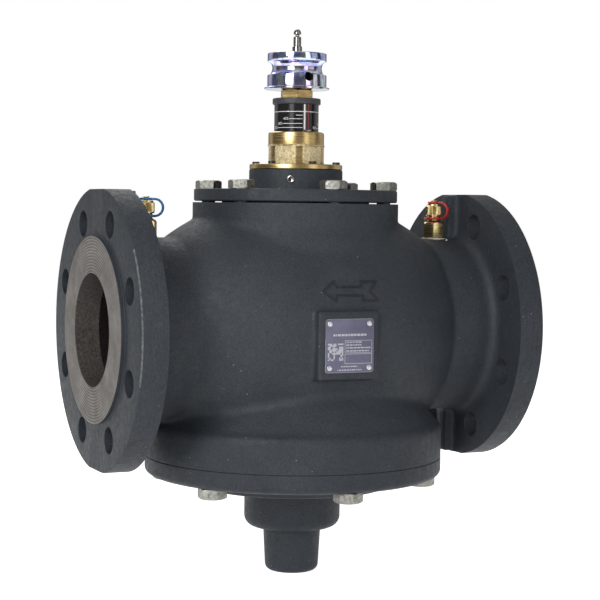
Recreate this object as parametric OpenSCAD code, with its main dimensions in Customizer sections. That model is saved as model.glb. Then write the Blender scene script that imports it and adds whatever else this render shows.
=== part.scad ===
// Pressure independent control valve for a flanged pipe: body, presetting sleeve, stem,
// control seat and pressure regulator. All lengths are in millimetres.
// The origin is the centre of the outlet flange's raised face. +X runs along the pipe to
// the inlet flange, +Z runs up along the stem, and the label faces -Y.

/* [Pipe and flanges] */
// Length between the two raised faces
face_to_face = 310; // [300:1:330]
// Outside diameter of a flange
flange_d = 200; // [195:1:210]
// Thickness of a flange with its raised face
flange_t = 22; // [20:0.5:26]
// Diameter of the raised face
raised_d = 132; // [126:1:136]
// Height of the raised face
raised_h = 3; // [2:0.5:4]
// Diameter of the circle of flange holes
flange_pcd = 160; // [158:1:164]
// Diameter of a flange hole
flange_hole_d = 19; // [16:0.5:20]
// Number of holes in a flange
flange_holes = 8; // [4:4:8]
// Depth of the flats on top of and under each flange
flange_flat = 1.6; // [1:0.1:2.5]
// Diameter of the port at the raised face
port_d = 80; // [74:1:84]

/* [Body casting] */
// Radius of the barrel at its middle
barrel_r = 97; // [95:0.5:100]
// Radius of the arc along the barrel
barrel_arc_r = 167.6; // [160:0.2:180]
// Radius of the tube behind each flange
tube_r = 65; // [63:0.5:67]
// Fillet between the tube and the flange
flange_fillet_r = 7; // [4:0.5:10]
// Wall of the casting
wall_t = 10; // [8:0.5:12]
// Height of the neck's top above the pipe axis
neck_h = 90.2; // [88:0.2:96]
// Radius of the neck
neck_r = 75.3; // [74:0.1:79]
// Radius of the neck's bore
neck_bore_r = 50; // [48:0.5:51]
// Radius of the skirt over the bottom cover
skirt_r = 109; // [107:0.5:113]
// Depth of the seam between skirt and bottom cover below the pipe axis
seam_depth = 93.5; // [92:0.5:98]
// Height of the skirt's upright wall above the seam
skirt_wall_h = 20.5; // [17:0.5:22]
// Rounding of the skirt's shoulder
skirt_round_r = 6; // [3:0.5:7]
// Radius of the chamber under the guide plate
skirt_bore_r = 66; // [64:0.5:70]
// Thickness of the partition between inlet and outlet
partition_t = 10; // [8:0.5:12]
// Width of the ribs behind the flanges
rib_w = 12; // [8:1:16]
// Distance that the ribs stand out behind the flanges
rib_h = 8.4; // [5:0.2:8.8]

/* [Label and arrow] */
// Width of the raised label pad
pad_w = 46; // [42:0.5:50]
// Height of the raised label pad
pad_h = 47; // [42:0.5:50]
// Distance of the pad's front from the barrel's largest radius
pad_proud = 3; // [2:0.5:5]
// Distance of the label's middle from the stem axis, towards the outlet
label_shift = 3.4; // [0:0.2:8]
// Height of the label's middle above the pipe axis
label_z = -6.5; // [-9:0.5:-2]
// Width of the label plate
label_w = 36.4; // [33:0.2:39]
// Height of the label plate
label_h = 36.8; // [33:0.2:39]
// Thickness of the label plate
label_t = 0.8; // [0.5:0.1:1.5]
// Length of the flow arrow
arrow_l = 41.4; // [36:0.2:46]
// Height of the flow arrow's head
arrow_head_h = 14; // [12:0.5:16]
// Height of the flow arrow's line above the pipe axis
arrow_z = 30.5; // [28:0.5:34]
// Width of the arrow's raised line
arrow_line_w = 1.3; // [1:0.1:1.8]
// Height of the arrow's raised line
arrow_relief = 0.8; // [0.5:0.1:1.5]

/* [Top cover] */
// Radius of the top cover
cover_r = 74.4; // [74.4:0.1:77]
// Thickness of the top cover
cover_t = 8.8; // [8:0.2:12]
// Thickness of the gasket under the top cover
gasket_t = 1; // [0.8:0.1:2]
// Radius of the gasket under the top cover
gasket_r = 54; // [53:0.5:57]
// Radius of the collar on the top cover
collar_r = 34.2; // [34:0.2:38]
// Height of the collar on the top cover
collar_h = 14.6; // [14:0.2:18]
// Radius of the circle of top cover screws
top_screw_ring_r = 64.5; // [64:0.1:65]
// Across flats of a top cover screw
top_screw_af = 17; // [15:0.5:17]
// Head height of a top cover screw
top_screw_head_h = 6.4; // [5:0.2:8]
// Shank diameter of a top cover screw
top_screw_d = 10; // [8:0.5:10]
// Number of screws in each cover
cover_screws = 6; // [4:1:6]

/* [Brass bonnet] */
// Radius of the brass clamp plate
plate_r = 34; // [33:0.2:36]
// Thickness of the brass clamp plate
plate_t = 3.8; // [3:0.2:6]
// Across flats of the bonnet's hexagon
bonnet_af = 39; // [38:0.5:41]
// Radius that the hexagon's corners are turned to
bonnet_corner_r = 21.1; // [20.6:0.1:22]
// Height of the bonnet's hexagon
bonnet_hex_h = 14.2; // [12:0.2:18]
// Radius of the bonnet's round top
bonnet_r = 20.4; // [20:0.1:21]
// Height of the bonnet's round top
bonnet_round_h = 9.4; // [7:0.2:14]

/* [Presetting sleeve] */
// Radius of the scale sleeve
sleeve_r = 16.2; // [15.5:0.1:16.4]
// Wall of the scale sleeve
sleeve_wall = 3; // [2.4:0.1:3.4]
// Height of the scale sleeve that shows
sleeve_show_h = 20; // [18:0.5:26]
// Travel of the presetting sleeve
preset_travel = 15; // [12:0.5:15]
// Radius of the cap ring
cap_ring_r = 17.6; // [17:0.1:19]
// Height of the cap ring
cap_ring_h = 4.5; // [4:0.1:6]
// Across flats of the drive hexagon
drive_af = 22; // [21:0.5:27]
// Height of the drive hexagon
drive_h = 6.5; // [5:0.5:9]

/* [Actuator ring] */
// Radius of the ring's foot
ring_foot_r = 23.8; // [23:0.1:26]
// Height of the ring's foot
ring_foot_h = 1.4; // [1:0.1:3]
// Radius of the ring's lower band
ring_low_r = 21.7; // [21:0.1:23]
// Height of the ring's lower band
ring_low_h = 9.1; // [8.6:0.1:12]
// Radius of the ring's waist
ring_waist_r = 18.2; // [16:0.1:19]
// Height of the groove between the ring's bands
ring_groove_h = 9.6; // [8:0.1:12]
// Radius of the ring's upper band
ring_top_r = 21.6; // [21:0.1:23]
// Height of the ring's upper band
ring_top_h = 6.1; // [5:0.1:8]
// Diameter of the hole for the turning bar
bar_hole_d = 6.5; // [5:0.5:7]

/* [Stem] */
// Radius of the stem above its spring
stem_r = 3.6; // [3.2:0.1:4]
// Radius of the stem in its guide
stem_rod_r = 5; // [4.6:0.1:5.4]
// Length of the stem's full shank above the actuator ring
stem_show_h = 5.6; // [4:0.2:8]
// Radius of the thinner shank under the head
stem_shank_r = 2.85; // [2.4:0.05:3.1]
// Length of the thinner shank
stem_shank_h = 6.7; // [5:0.1:8]
// Radius of the neck under the head
stem_neck_r = 1.42; // [1.2:0.02:1.8]
// Length of the neck under the head
stem_neck_h = 1.5; // [1:0.1:2.5]
// Radius of the stem's head
stem_head_r = 2.8; // [2.4:0.05:3.1]
// Height of the stem's head
stem_head_h = 4; // [3:0.1:5]
// Travel of the stem
stem_travel = 20; // [16:0.5:20]
// Radius of the control plug
plug_r = 32; // [31:0.2:34]
// Thickness of the control plug
plug_t = 9; // [7:0.5:10]

/* [Seats] */
// Bore radius of the seat cage
cage_bore_r = 33; // [32:0.2:34]
// Wall of the seat cage
cage_wall = 5; // [4:0.2:6]
// Height of the cage above the pipe axis
cage_up_h = 30; // [28:0.5:31]
// Depth of the cage below the pipe axis
cage_down_h = 38; // [37:0.5:40]
// Bore radius of the upper seat
upper_seat_r = 28; // [26:0.2:29]
// Bore radius of the lower seat
lower_seat_r = 26; // [24:0.2:27]

/* [Bottom cover] */
// Height of the cover's upright rim
base_rim_h = 9.5; // [7:0.5:10]
// Rounding under the cover's rim
base_round_r = 7.6; // [5:0.2:8]
// Thickness of the cover at its screws
base_t = 14.5; // [13:0.5:18]
// Radius of the flat step under the cover
base_step_r = 72; // [71:0.5:76]
// Depth of the flat step
base_step_h = 8; // [6:0.5:12]
// Radius of the boss
boss_r = 35.4; // [34:0.2:38]
// Depth of the boss below the step
boss_h = 31.5; // [29:0.5:36]
// Rounding of the boss
boss_round_r = 8; // [5:0.5:8]
// Radius of the stub at its top
stub_top_r = 21.2; // [20.6:0.1:23]
// Radius of the stub at its foot
stub_foot_r = 19.7; // [18:0.1:20.4]
// Length of the stub
stub_h = 33; // [30:0.5:38]
// Radius of the circle of bottom cover screws
base_screw_ring_r = 94.5; // [92:0.5:96]
// Across flats of a bottom cover screw
base_screw_af = 18; // [16:0.5:19]
// Head height of a bottom cover screw
base_screw_head_h = 7.5; // [6:0.5:9]
// Shank diameter of a bottom cover screw
base_screw_d = 12; // [9:0.5:12]

/* [Regulator] */
// Travel of the pressure regulator
regulator_travel = 12; // [10:0.5:12]
// Radius of the throttle plug
throttle_r = 31; // [30:0.2:31.5]
// Radius of the diaphragm plates
diaphragm_plate_r = 48; // [46:0.5:50]
// Radius of the diaphragm's rim
diaphragm_r = 80; // [76:0.5:84]
// Thickness of the diaphragm
diaphragm_t = 2; // [1.6:0.1:2.4]
// Radius of the regulator spindle's lower end
spindle_r = 8; // [7:0.2:8.4]
// Radius of the regulator spindle in the guide plate
spindle_top_r = 6; // [5.4:0.1:6.4]

/* [Test plugs] */
// Distance of a test plug from the stem axis
plug_offset = 115.5; // [113:0.5:116]
// Across flats of a test plug's hexagon
nipple_af = 14; // [13:0.5:16]
// Height of a test plug's hexagon
nipple_hex_h = 13.5; // [12:0.5:16]
// Radius of a test plug's neck
nipple_r = 4.6; // [4.2:0.1:4.8]
// Radius of a test plug's cap
test_cap_r = 6.15; // [5.9:0.05:6.6]
// Height of a test plug's cap
test_cap_h = 9; // [8:0.5:11]
// Travel that a cap unscrews
cap_travel = 5; // [4:0.5:5]
// Width of the strap's band
strap_w = 4; // [3:0.5:5]
// Thickness of the strap
strap_t = 1.8; // [1.4:0.1:2]
// Reach of the strap from the cap's axis
strap_reach = 13; // [12:0.5:14]

/* [Fits] */
// Radial clearance of a running fit
running_gap = 0.06; // [0.04:0.01:0.08]
// Clearance between parts that move past each other
free_gap = 0.4; // [0.35:0.05:0.5]
// Radial clearance of a screw in its tapped hole
thread_gap = 0.1; // [0.05:0.05:0.2]
// Radial clearance of a screw in a plain hole
screw_gap = 0.5; // [0.3:0.1:0.7]

/* [Hidden] */
$fn = 96;
// Angle of the first cover screw
screw_phase = 30;
// Steps along a profile's arc
arc_steps = 8;
barrel_steps = 14;
// Overrun of every cut
over = 1;

// Places along the pipe
mid_x = face_to_face / 2;
flange_back = mid_x - flange_t;
raised_back = mid_x - raised_h;

// Inner sizes of the casting
port_lip_l = 18;
port_flare_l = 16;
port_step = 1;
chamber_end_r = tube_r - wall_t - port_step;
neck_solid_t = 28;
floor_t = 10;
// Depth of the guide plate's chamber above the seam
guide_chamber_h = 21.5;
tube_wall = 10;
window_half_w = 42;
passage_r = 2.5;
passage_wall = 4;
spot_cut = 1;
spot_r = 9.5;
rib_foot = 6;
rib_round_r = 5;
rib_end_gap = 0.4;

// Levels of the neck and of all that stands on it
neck_top = neck_h;
cover_z = neck_top + gasket_t;
cover_top = cover_z + cover_t;
collar_top = cover_top + collar_h;
plate_top = collar_top + plate_t;
hex_top = plate_top + bonnet_hex_h;
bonnet_top = hex_top + bonnet_round_h;
sleeve_top = bonnet_top + sleeve_show_h;
cap_ring_top = sleeve_top + cap_ring_h;
drive_top = cap_ring_top + drive_h;
ring_low_top = drive_top + ring_foot_h + ring_low_h;
ring_groove_top = ring_low_top + ring_groove_h;
ring_top = ring_groove_top + ring_top_h;
stem_shank_z = ring_top + stem_show_h;
stem_neck_z = stem_shank_z + stem_shank_h;
stem_head_z = stem_neck_z + stem_neck_h;
stem_top = stem_head_z + stem_head_h;

// Top cover
cover_edge = 0.8;
spigot_h = 12;
spigot_gap = 0.3;
guide_boss_r = 14;
guide_boss_h = 19;
collar_floor_h = 3.5;
collar_floor = cover_top + collar_floor_h;
gland_r = 9.5;
gland_h = 11.5;
gland_bottom = collar_floor - gland_h;
stem_bush_r = 8;
stem_bush_h = 16;
bonnet_flange_r = 22;
bonnet_flange_h = 3;
bonnet_spigot_r = 20;
bonnet_fit = 0.2;
sleeve_gap = 0.8;
ring_bore_gap = 0.9;
bonnet_seal_r = 1.2;
gland_flange_r = 12;
gland_flange_h = 4.5;
seal_r = 2.15;
set_screw_r = 2.8;
set_screw_angle = -120;
set_screw_share = 0.5;
set_socket_af = 3;
set_socket_h = 3;

// Small screws on the clamp plate
small_screw_ring_r = 29.5;
small_screw_r = 1.5;
small_screw_l = 7;
small_head_r = 2.75;
small_head_h = 3;
small_sink = 1;
small_socket_af = 2.5;
small_socket_h = 1.5;

// Screws of the covers
top_screw_grip = 18;
base_screw_grip = 18;
washer_face_share = 0.94;
// Turn that brings a hexagon's flat to +X
flat_turn = 30;
hex_chamfer_share = 0.12;

// Presetting sleeve
bonnet_bore_r = sleeve_r + sleeve_gap;
sleeve_bore_r = sleeve_r - sleeve_wall;
sleeve_in_h = 11;
sleeve_bottom = bonnet_top - sleeve_in_h;
stop_flange_t = 2.2;
stop_flange_r = 9.5;
stop_flange_gap = 0.6;
cap_ring_bore_r = stop_flange_r + stop_flange_gap;
stop_flange_top = cap_ring_top - free_gap;
stop_tube_wall = 3;
stop_tube_r = stem_r + stop_tube_wall;
drive_spigot_r = 9;
drive_spigot_h = 7;
stop_end_drop = 1.2;
// Turn of the two brass hexagons
brass_turn = 12;
bonnet_edge = 1.4;
ring_edge = 0.5;
bar_hole_up = 7;

// Stem and control plug
seat_gap = 0.4;
upper_seat_t = 2;
upper_seat_h = 8;
upper_seat_top = cage_up_h + upper_seat_t;
plug_bottom = upper_seat_top + seat_gap + stem_travel;
plug_seal_t = 2.6;
plug_seal_out_r = 31;
plug_seal_in_r = 24;
plug_top = plug_bottom + plug_seal_t + plug_t;
stem_end_r = 4;
plug_nut_h = 6;
plug_nut_af = 17;
stem_end_h = 2;
plug_nut_z = plug_bottom + plug_seal_t - plug_nut_h;
stem_bottom = plug_nut_z - stem_end_h;
spring_cup_r = 11;
spring_cup_t = 3;
circlip_t = 1.2;
circlip_r = 6;
circlip_groove = 0.7;
preset_clear = 1.8;
// The circlip stays below the stop bush when the sleeve is turned right down
circlip_top = stop_flange_top - stop_flange_t - preset_travel - preset_clear;
circlip_z = circlip_top - circlip_t;
spring_cup_z = circlip_z - spring_cup_t;
gland_top = collar_floor + gland_flange_h;
stem_spring_r = 8.4;
stem_wire_r = 1;
stem_spring_turns = 8;
spring_end_gap = 0.1;

// Seat cage
cage_r = cage_bore_r + cage_wall;
web_top = partition_t / 2;
cage_gasket_t = 1;
cage_flange_z = web_top + cage_gasket_t;
cage_flange_w = 6;
cage_flange_r = cage_r + cage_flange_w;
cage_flange_t = 5;
cage_lip = 3;
cage_lip_t = 2;
lower_seat_z = cage_lip_t - cage_down_h;
lower_seat_h = 6.6;
lower_seat_top = lower_seat_z + lower_seat_h;
seat_wall = 0.5;

// Levels under the pipe axis
seam_z = -seam_depth;
guide_ledge_z = seam_z + guide_chamber_h;
floor_top_z = guide_ledge_z + floor_t;
guide_plate_t = 8;
guide_plate_z = guide_ledge_z - guide_plate_t;
guide_ring_t = 2;
guide_ring_depth = 1.4;
guide_ring_w = 5;
guide_fit = 0.2;
guide_bush_r = 9;
guide_bush_up = 2;
guide_seal_r = 1.5;

// Regulator
upper_hub_gap = 2;
upper_hub_h = 2;
upper_hub_r = 12;
diaphragm_plate_t = 4;
upper_plate_top = guide_plate_z - upper_hub_gap - upper_hub_h;
diaphragm_top = upper_plate_top - diaphragm_plate_t;
lower_plate_top = diaphragm_top - diaphragm_t;
lower_plate_z = lower_plate_top - diaphragm_plate_t;
diaphragm_dip = 5;
spindle_collar_r = 12;
spindle_collar_t = 3;
spindle_end_drop = 61;
spindle_bottom = lower_plate_z - spindle_end_drop;
throttle_seal_t = 3;
throttle_t = 10;
throttle_seal_z = lower_seat_top + seat_gap + regulator_travel;
throttle_z = throttle_seal_z + throttle_seal_t;
throttle_top = throttle_z + throttle_t;
throttle_nut_h = 6;
throttle_nut_af = 19;
spindle_tip_r = 5;
spindle_tip_h = 2;
spindle_drill_r = 1.5;
spring_guide_wall = 3;
spring_guide_h = 4;

// Bottom cover
base_under_z = seam_z - base_t;
base_step_z = base_under_z - base_step_h;
boss_z = base_step_z - boss_h;
stub_z = boss_z - stub_h;
base_slope = 6;
base_cavity_step = 2;
base_cavity_r = skirt_bore_r - base_cavity_step;
base_floor_t = 8;
base_floor_z = base_step_z + base_floor_t;
boss_wall = 8.4;
boss_bore_r = boss_r - boss_wall;
boss_floor_t = 9.5;
boss_floor_z = boss_z + boss_floor_t;
stub_bush_r = 11;
stub_bush_h = 12;
stub_floor = 8.5;
stub_round_r = 5;
stub_bore_r = spindle_r + free_gap;
spring_seat_t = 3;
spring_seat_z = boss_floor_z;
spring_seat_fit = 0.5;
diaphragm_spring_r = 19;
diaphragm_wire_r = 2.4;
diaphragm_spring_turns = 5;
passage_x_r = diaphragm_r + passage_wall;
cross_drill_share = 0.8;

// Test plugs
spot_z = tube_r - spot_cut;
nipple_thread_r = 5;
nipple_thread_h = 11;
nipple_top = spot_z + nipple_hex_h;
nipple_neck_h = 10.5;
nipple_bore_r = 2.2;
nipple_core_h = 8;
seal_ring_t = 1.2;
seal_ring_w = 4.2;
lower_eye_gap = 1.6;
lower_eye_z = nipple_top + lower_eye_gap;
cap_gap = 1;
cap_thread_gap = 0.6;
cap_z = lower_eye_z + strap_t + cap_gap;
cap_top = cap_z + test_cap_h;
cap_cavity_r = nipple_r + cap_thread_gap;
cap_roof = 2;
cap_bevel = 1;
cap_pin_r = 1.8;
cap_pin_h = 2.4;
cap_pin_head_r = 2.6;
cap_pin_head_h = 0.6;
knurls = 24;
knurl_depth = 0.35;
eye_wall = 2.4;
upper_eye_z = cap_top + free_gap / 2;
eye_r = cap_pin_r + free_gap;
lower_eye_r = nipple_r + free_gap;
// Turns of the straps from +X towards the front, which keep the inlet one off its rib
outlet_strap_turn = 28;
inlet_strap_turn = 57;

// Label
label_x = mid_x - label_shift;
pad_depth = 12;
pad_front_y = -(barrel_r + pad_proud);
label_corner_r = 2;
rivet_r = 1.2;
rivet_l = 4;
rivet_head_r = 1.9;
rivet_head_h = 0.7;
rivet_inset_share = 0.41;

// Radius of the barrel at distance s from its middle, inside or outside by grow
function barrel_at(s, grow) =
    barrel_r - barrel_arc_r + grow + sqrt(pow(barrel_arc_r, 2) - pow(s, 2));

// Distance from the middle at which the barrel has come down to radius r
function barrel_end(r) = sqrt(pow(barrel_arc_r, 2) - pow(r - barrel_r + barrel_arc_r, 2));

// Points of an arc about [cx, cy], from angle a to angle b
function arc(cx, cy, r, a, b) =
    [for (i = [0 : arc_steps]) let (t = a + (b - a) * i / arc_steps) [cx + r * cos(t), cy + r * sin(t)]];

// Half of the outer outline, as radius and distance from the middle
function half_outline(grow) = let (end = barrel_end(tube_r)) concat(
    [for (i = [0 : barrel_steps]) let (s = end * i / barrel_steps) [barrel_at(s, grow), s]],
    arc(tube_r + flange_fillet_r, flange_back - flange_fillet_r, flange_fillet_r, 180, 90),
    [[flange_d / 2, flange_back], [flange_d / 2, raised_back], [raised_d / 2, raised_back],
     [raised_d / 2, mid_x]]);

// Half of the inner outline
function half_cavity() = let (end = barrel_end(chamber_end_r + wall_t)) concat(
    [for (i = [0 : barrel_steps]) let (s = end * i / barrel_steps) [barrel_at(s, -wall_t), s]],
    [[chamber_end_r, mid_x - port_lip_l - port_flare_l], [port_d / 2, mid_x - port_lip_l],
     [port_d / 2, mid_x + over]]);

function mirrored(half) = concat([for (i = [len(half) - 1 : -1 : 1]) [half[i][0], -half[i][1]]], half);

// A solid turned about the pipe axis from half an outline
module turned_on_pipe(half) {
    full = mirrored(half);
    last = full[len(full) - 1];
    translate([mid_x, 0, 0]) rotate([0, 90, 0]) rotate_extrude()
        polygon(concat([[0, full[0][1]]], full, [[0, last[1]]]));
}

module on_stem() translate([mid_x, 0, 0]) children();

// A round bar from level low to level high
module bar(r, low, high) translate([0, 0, low]) cylinder(r = r, h = high - low);

// A disc whose two rims are chamfered by edge
module edged_disc(r, low, high, edge) rotate_extrude() polygon([
    [0, low], [r - edge, low], [r, low + edge], [r, high - edge], [r - edge, high], [0, high]]);

// A washer from level low to level high
module tube(r_out, r_in, low, high) difference() {
    bar(r_out, low, high);
    bar(r_in, low - over, high + over);
}

module hexagon(af, low, high)
    translate([0, 0, low]) cylinder(r = af / sqrt(3), h = high - low, $fn = 6);

// A hexagon whose corners are turned off at both ends
module turned_hexagon(af, low, high) intersection() {
    hexagon(af, low, high);
    rotate_extrude() polygon([
        [0, low], [af / 2 * washer_face_share, low],
        [af / sqrt(3), low + af * hex_chamfer_share / 2], [af / sqrt(3), high - af * hex_chamfer_share / 2],
        [af / 2 * washer_face_share, high], [0, high]]);
}

module ring_of(n, r, phase) for (i = [0 : n - 1])
    rotate([0, 0, phase + 360 / n * i]) translate([r, 0, 0]) children();

// A hexagon screw whose head rests on level zero
module hex_screw(d, grip, af, head_h) {
    turned_hexagon(af, 0, head_h);
    bar(d / 2, -grip, 0);
}

// An O-ring that touches level low
module o_ring(r_mid, r_cord, low)
    translate([0, 0, low + r_cord]) rotate_extrude() translate([r_mid, 0]) circle(r = r_cord);

// A flat plate with round corners, in the plane of X and Z, its front towards -Y
module rounded_plate(w, h, t, r) rotate([90, 0, 0]) linear_extrude(height = t) {
    square([w, h - 2 * r], center = true);
    square([w - 2 * r, h], center = true);
    for (sx = [-1, 1], sz = [-1, 1]) translate([sx * (w / 2 - r), sz * (h / 2 - r)]) circle(r = r);
}

// Points on the middle line of a coil spring
coil_rings = 8;
coil_sides = 6;
function coil_at(i, turns, r, height) =
    [r * cos(360 * i / coil_rings), r * sin(360 * i / coil_rings), height * i / (turns * coil_rings)];

// A coil spring as one unbroken tube, from level low to level high
module coil_spring(turns, r, wire_r, low, high) {
    height = high - low - 2 * wire_r;
    steps = turns * coil_rings;
    rings = [for (i = [0 : steps], k = [0 : coil_sides - 1])
        let (a = 360 * i / coil_rings, b = 360 * k / coil_sides, p = coil_at(i, turns, r, height))
        [p[0] + wire_r * cos(b) * cos(a), p[1] + wire_r * cos(b) * sin(a), p[2] + wire_r * sin(b)]];
    sides = [for (i = [0 : steps - 1], k = [0 : coil_sides - 1])
        let (n = (k + 1) % coil_sides, a = i * coil_sides, b = (i + 1) * coil_sides)
        each [[a + k, b + k, b + n], [a + k, b + n, a + n]]];
    start = [for (k = [1 : coil_sides - 2]) [0, k, k + 1]];
    first = steps * coil_sides;
    end = [for (k = [1 : coil_sides - 2]) [first, first + k + 1, first + k]];
    gap = min([for (i = [0 : steps - coil_rings])
        norm(coil_at(i, turns, r, height) - coil_at(i + coil_rings, turns, r, height))]) - 2 * wire_r;
    echo(str("least gap between curls in mm: ", gap));
    translate([0, 0, low + wire_r]) polyhedron(points = rings, faces = concat(sides, start, end));
}

skirt_end_share = 0.9;
skirt_rise_share = 0.44;

// The skirt that spreads from the barrel down to the seam
module skirt() rotate_extrude() polygon(concat(
    [[0, seam_z], [skirt_r, seam_z]],
    arc(skirt_r - skirt_round_r, seam_z + skirt_wall_h, skirt_round_r, 0, 70),
    [[barrel_r * skirt_end_share, -barrel_r * skirt_rise_share], [0, -barrel_r * skirt_rise_share]]));

// One raised line of the arrow between two points in the plane of X and Z
module arrow_line(p, q) {
    d = q - p;
    translate([p[0], 0, p[1]]) rotate([0, -atan2(d[1], d[0]), 0])
        translate([0, -barrel_r - arrow_relief - over, -arrow_line_w / 2])
            cube([norm(d), barrel_r / 2, arrow_line_w]);
    for (e = [p, q]) translate([e[0], -barrel_r - arrow_relief - over, e[1]])
        rotate([-90, 0, 0]) cylinder(r = arrow_line_w / 2, h = barrel_r / 2);
}

// Corners of the flow arrow, as shares of its length and of its head's height
arrow_shares = [[0, 0], [0.21, 0.5], [0.23, 0.21], [0.71, 0.21], [0.71, 0.47], [1, 0.47],
    [0.85, 0], [1, -0.47], [0.71, -0.47], [0.71, -0.21], [0.23, -0.21], [0.21, -0.5]];
arrow_tip_shift = 19.3;
arrow_tip_x = mid_x - arrow_tip_shift;

module arrow_lines() for (i = [0 : len(arrow_shares) - 1]) {
    p = arrow_shares[i];
    q = arrow_shares[(i + 1) % len(arrow_shares)];
    arrow_line([arrow_tip_x + p[0] * arrow_l, arrow_z + p[1] * arrow_head_h],
        [arrow_tip_x + q[0] * arrow_l, arrow_z + q[1] * arrow_head_h]);
}

// Ribs behind one flange, above and below its tube, round at their outer corner
module flange_ribs(side) on_stem() for (up = [-1, 1]) translate([side * flange_back, rib_w / 2, 0]) {
    rib_end = flange_d / 2 - flange_flat - rib_end_gap;
    rotate([90, 0, 0]) linear_extrude(height = rib_w) scale([side, up]) polygon(concat(
        [[over, tube_r - rib_foot], [-rib_h, tube_r - rib_foot]],
        arc(rib_round_r - rib_h, rib_end - rib_round_r, rib_round_r, 180, 90), [[over, rib_end]]));
}

module body_outside() {
    turned_on_pipe(half_outline(0));
    on_stem() bar(neck_r, 0, neck_top);
    on_stem() skirt();
    translate([label_x - pad_w / 2, pad_front_y, label_z - pad_h / 2]) cube([pad_w, pad_depth, pad_h]);
    for (side = [-1, 1]) flange_ribs(side);
    intersection() {
        turned_on_pipe(half_outline(arrow_relief));
        arrow_lines();
    }
}

// The space inside the casting before the partition stands in it
module body_inside() difference() {
    turned_on_pipe(half_cavity());
    on_stem() bar(neck_r, neck_top - neck_solid_t, neck_top + barrel_r);
    on_stem() bar(skirt_r, seam_z - barrel_r, floor_top_z);
    translate([mid_x - partition_t / 2, -barrel_r, -barrel_r])
        cube([partition_t, 2 * barrel_r, 2 * barrel_r]);
    on_stem() bar(neck_bore_r + tube_wall, -barrel_r, barrel_r);
}

// Openings in the central tube: the upper one to the outlet, the lower one to the inlet
module windows() {
    window_l = neck_bore_r + tube_wall + over;
    up = cage_flange_z + cage_flange_t;
    translate([mid_x - window_l, -window_half_w, up])
        cube([window_l, 2 * window_half_w, neck_top - neck_solid_t - up]);
    translate([mid_x, -window_half_w, floor_top_z])
        cube([window_l, 2 * window_half_w, -web_top - floor_top_z]);
}

module flange_bores() for (side = [-1, 1])
    translate([mid_x + side * (mid_x - flange_t / 2), 0, 0]) rotate([0, 90, 0])
        ring_of(flange_holes, flange_pcd / 2, 180 / flange_holes)
            cylinder(d = flange_hole_d, h = flange_t + 2 * over, center = true);

// The whole casting, which is one piece in life
module casting() difference() {
    body_outside();
    body_inside();
    on_stem() {
        // Trims above the neck and below the seam
        bar(neck_r + over, neck_top, neck_top + barrel_r);
        bar(skirt_r + over, seam_z - barrel_r, seam_z);
        // Bores of the central tube, its web and the chamber under it
        bar(neck_bore_r, web_top, neck_top + over);
        bar(neck_bore_r, guide_ledge_z - over, -web_top);
        bar(cage_r + bonnet_fit, -partition_t, partition_t);
        bar(skirt_bore_r, seam_z - over, guide_ledge_z);
        bar(skirt_bore_r + guide_ring_depth, guide_plate_z - guide_ring_t, guide_plate_z);
        // Tapped holes for the covers' screws and the outlet pressure passage
        ring_of(cover_screws, top_screw_ring_r, screw_phase)
            bar(top_screw_d / 2 + thread_gap, neck_top - top_screw_grip - over, neck_top + over);
        ring_of(cover_screws, base_screw_ring_r, screw_phase)
            bar(base_screw_d / 2 + thread_gap, seam_z - over, seam_z + base_screw_grip + over);
        translate([-passage_x_r, 0, 0]) bar(passage_r, seam_z - over, floor_top_z + over);
        for (side = [-1, 1]) translate([side * plug_offset, 0, 0]) {
            bar(nipple_thread_r + thread_gap, tube_r / 2, tube_r + over);
            bar(spot_r, spot_z, tube_r + over);
        }
    }
    windows();
    flange_bores();
    // Flats on the flanges' rims
    for (up = [-1, 1]) translate([mid_x, 0, up * (flange_d / 2 - flange_flat + flange_t)])
        cube([face_to_face + 2 * over, flange_d, 2 * flange_t], center = true);
    rivet_places() rotate([-90, 0, 0]) bar(rivet_r + thread_gap, -over, rivet_l + over);
}

// The casting is drawn as four simple forms that meet face to face: its middle, the
// two flanges with their tubes, and the ring around the diaphragm chamber
flange_cut_gap = 0.5;
flange_cut_s = skirt_r + flange_cut_gap;

module middle_space(low, high) translate([mid_x - flange_cut_s, -flange_d, low])
    cube([2 * flange_cut_s, 2 * flange_d, high - low]);

module body_casting() color("#3b4149") intersection() {
    casting();
    middle_space(guide_ledge_z, neck_top + barrel_r);
}

module chamber_ring() color("#3b4149") intersection() {
    casting();
    middle_space(seam_z - over, guide_ledge_z);
}

module flange_end(side) color("#3b4149") intersection() {
    casting();
    translate([mid_x + side * mid_x, 0, 0])
        cube([2 * (mid_x - flange_cut_s), 2 * flange_d, 2 * flange_d], center = true);
}

module outlet_flange() flange_end(-1);
module inlet_flange() flange_end(1);

module top_cover() color("#3b4149") on_stem() difference() {
    union() {
        edged_disc(cover_r, cover_z, cover_top, cover_edge);
        edged_disc(collar_r, cover_top - over, collar_top, cover_edge);
        tube(neck_bore_r - spigot_gap, neck_bore_r - tube_wall, cover_z - spigot_h, cover_z);
        bar(guide_boss_r, cover_z - guide_boss_h, cover_z);
    }
    bar(bonnet_flange_r + bonnet_fit, collar_top - bonnet_flange_h, collar_top + over);
    bar(bonnet_spigot_r + bonnet_fit, collar_floor, collar_top + over);
    bar(gland_r, gland_bottom, collar_top);
    bar(stem_bush_r, cover_z - guide_boss_h - over, gland_bottom + over);
    ring_of(cover_screws, top_screw_ring_r, screw_phase)
        bar(top_screw_d / 2 + screw_gap, cover_z - over, cover_top + over);
    ring_of(cover_screws, small_screw_ring_r, screw_phase)
        bar(small_screw_r + thread_gap, collar_top - small_screw_l - over, collar_top + over);
    set_screw_place() bar(set_screw_r + thread_gap, bonnet_spigot_r - over, collar_r + over);
}

module set_screw_place()
    rotate([0, 0, set_screw_angle]) translate([0, 0, cover_top + collar_h * set_screw_share])
        rotate([0, 90, 0]) children();

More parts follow.
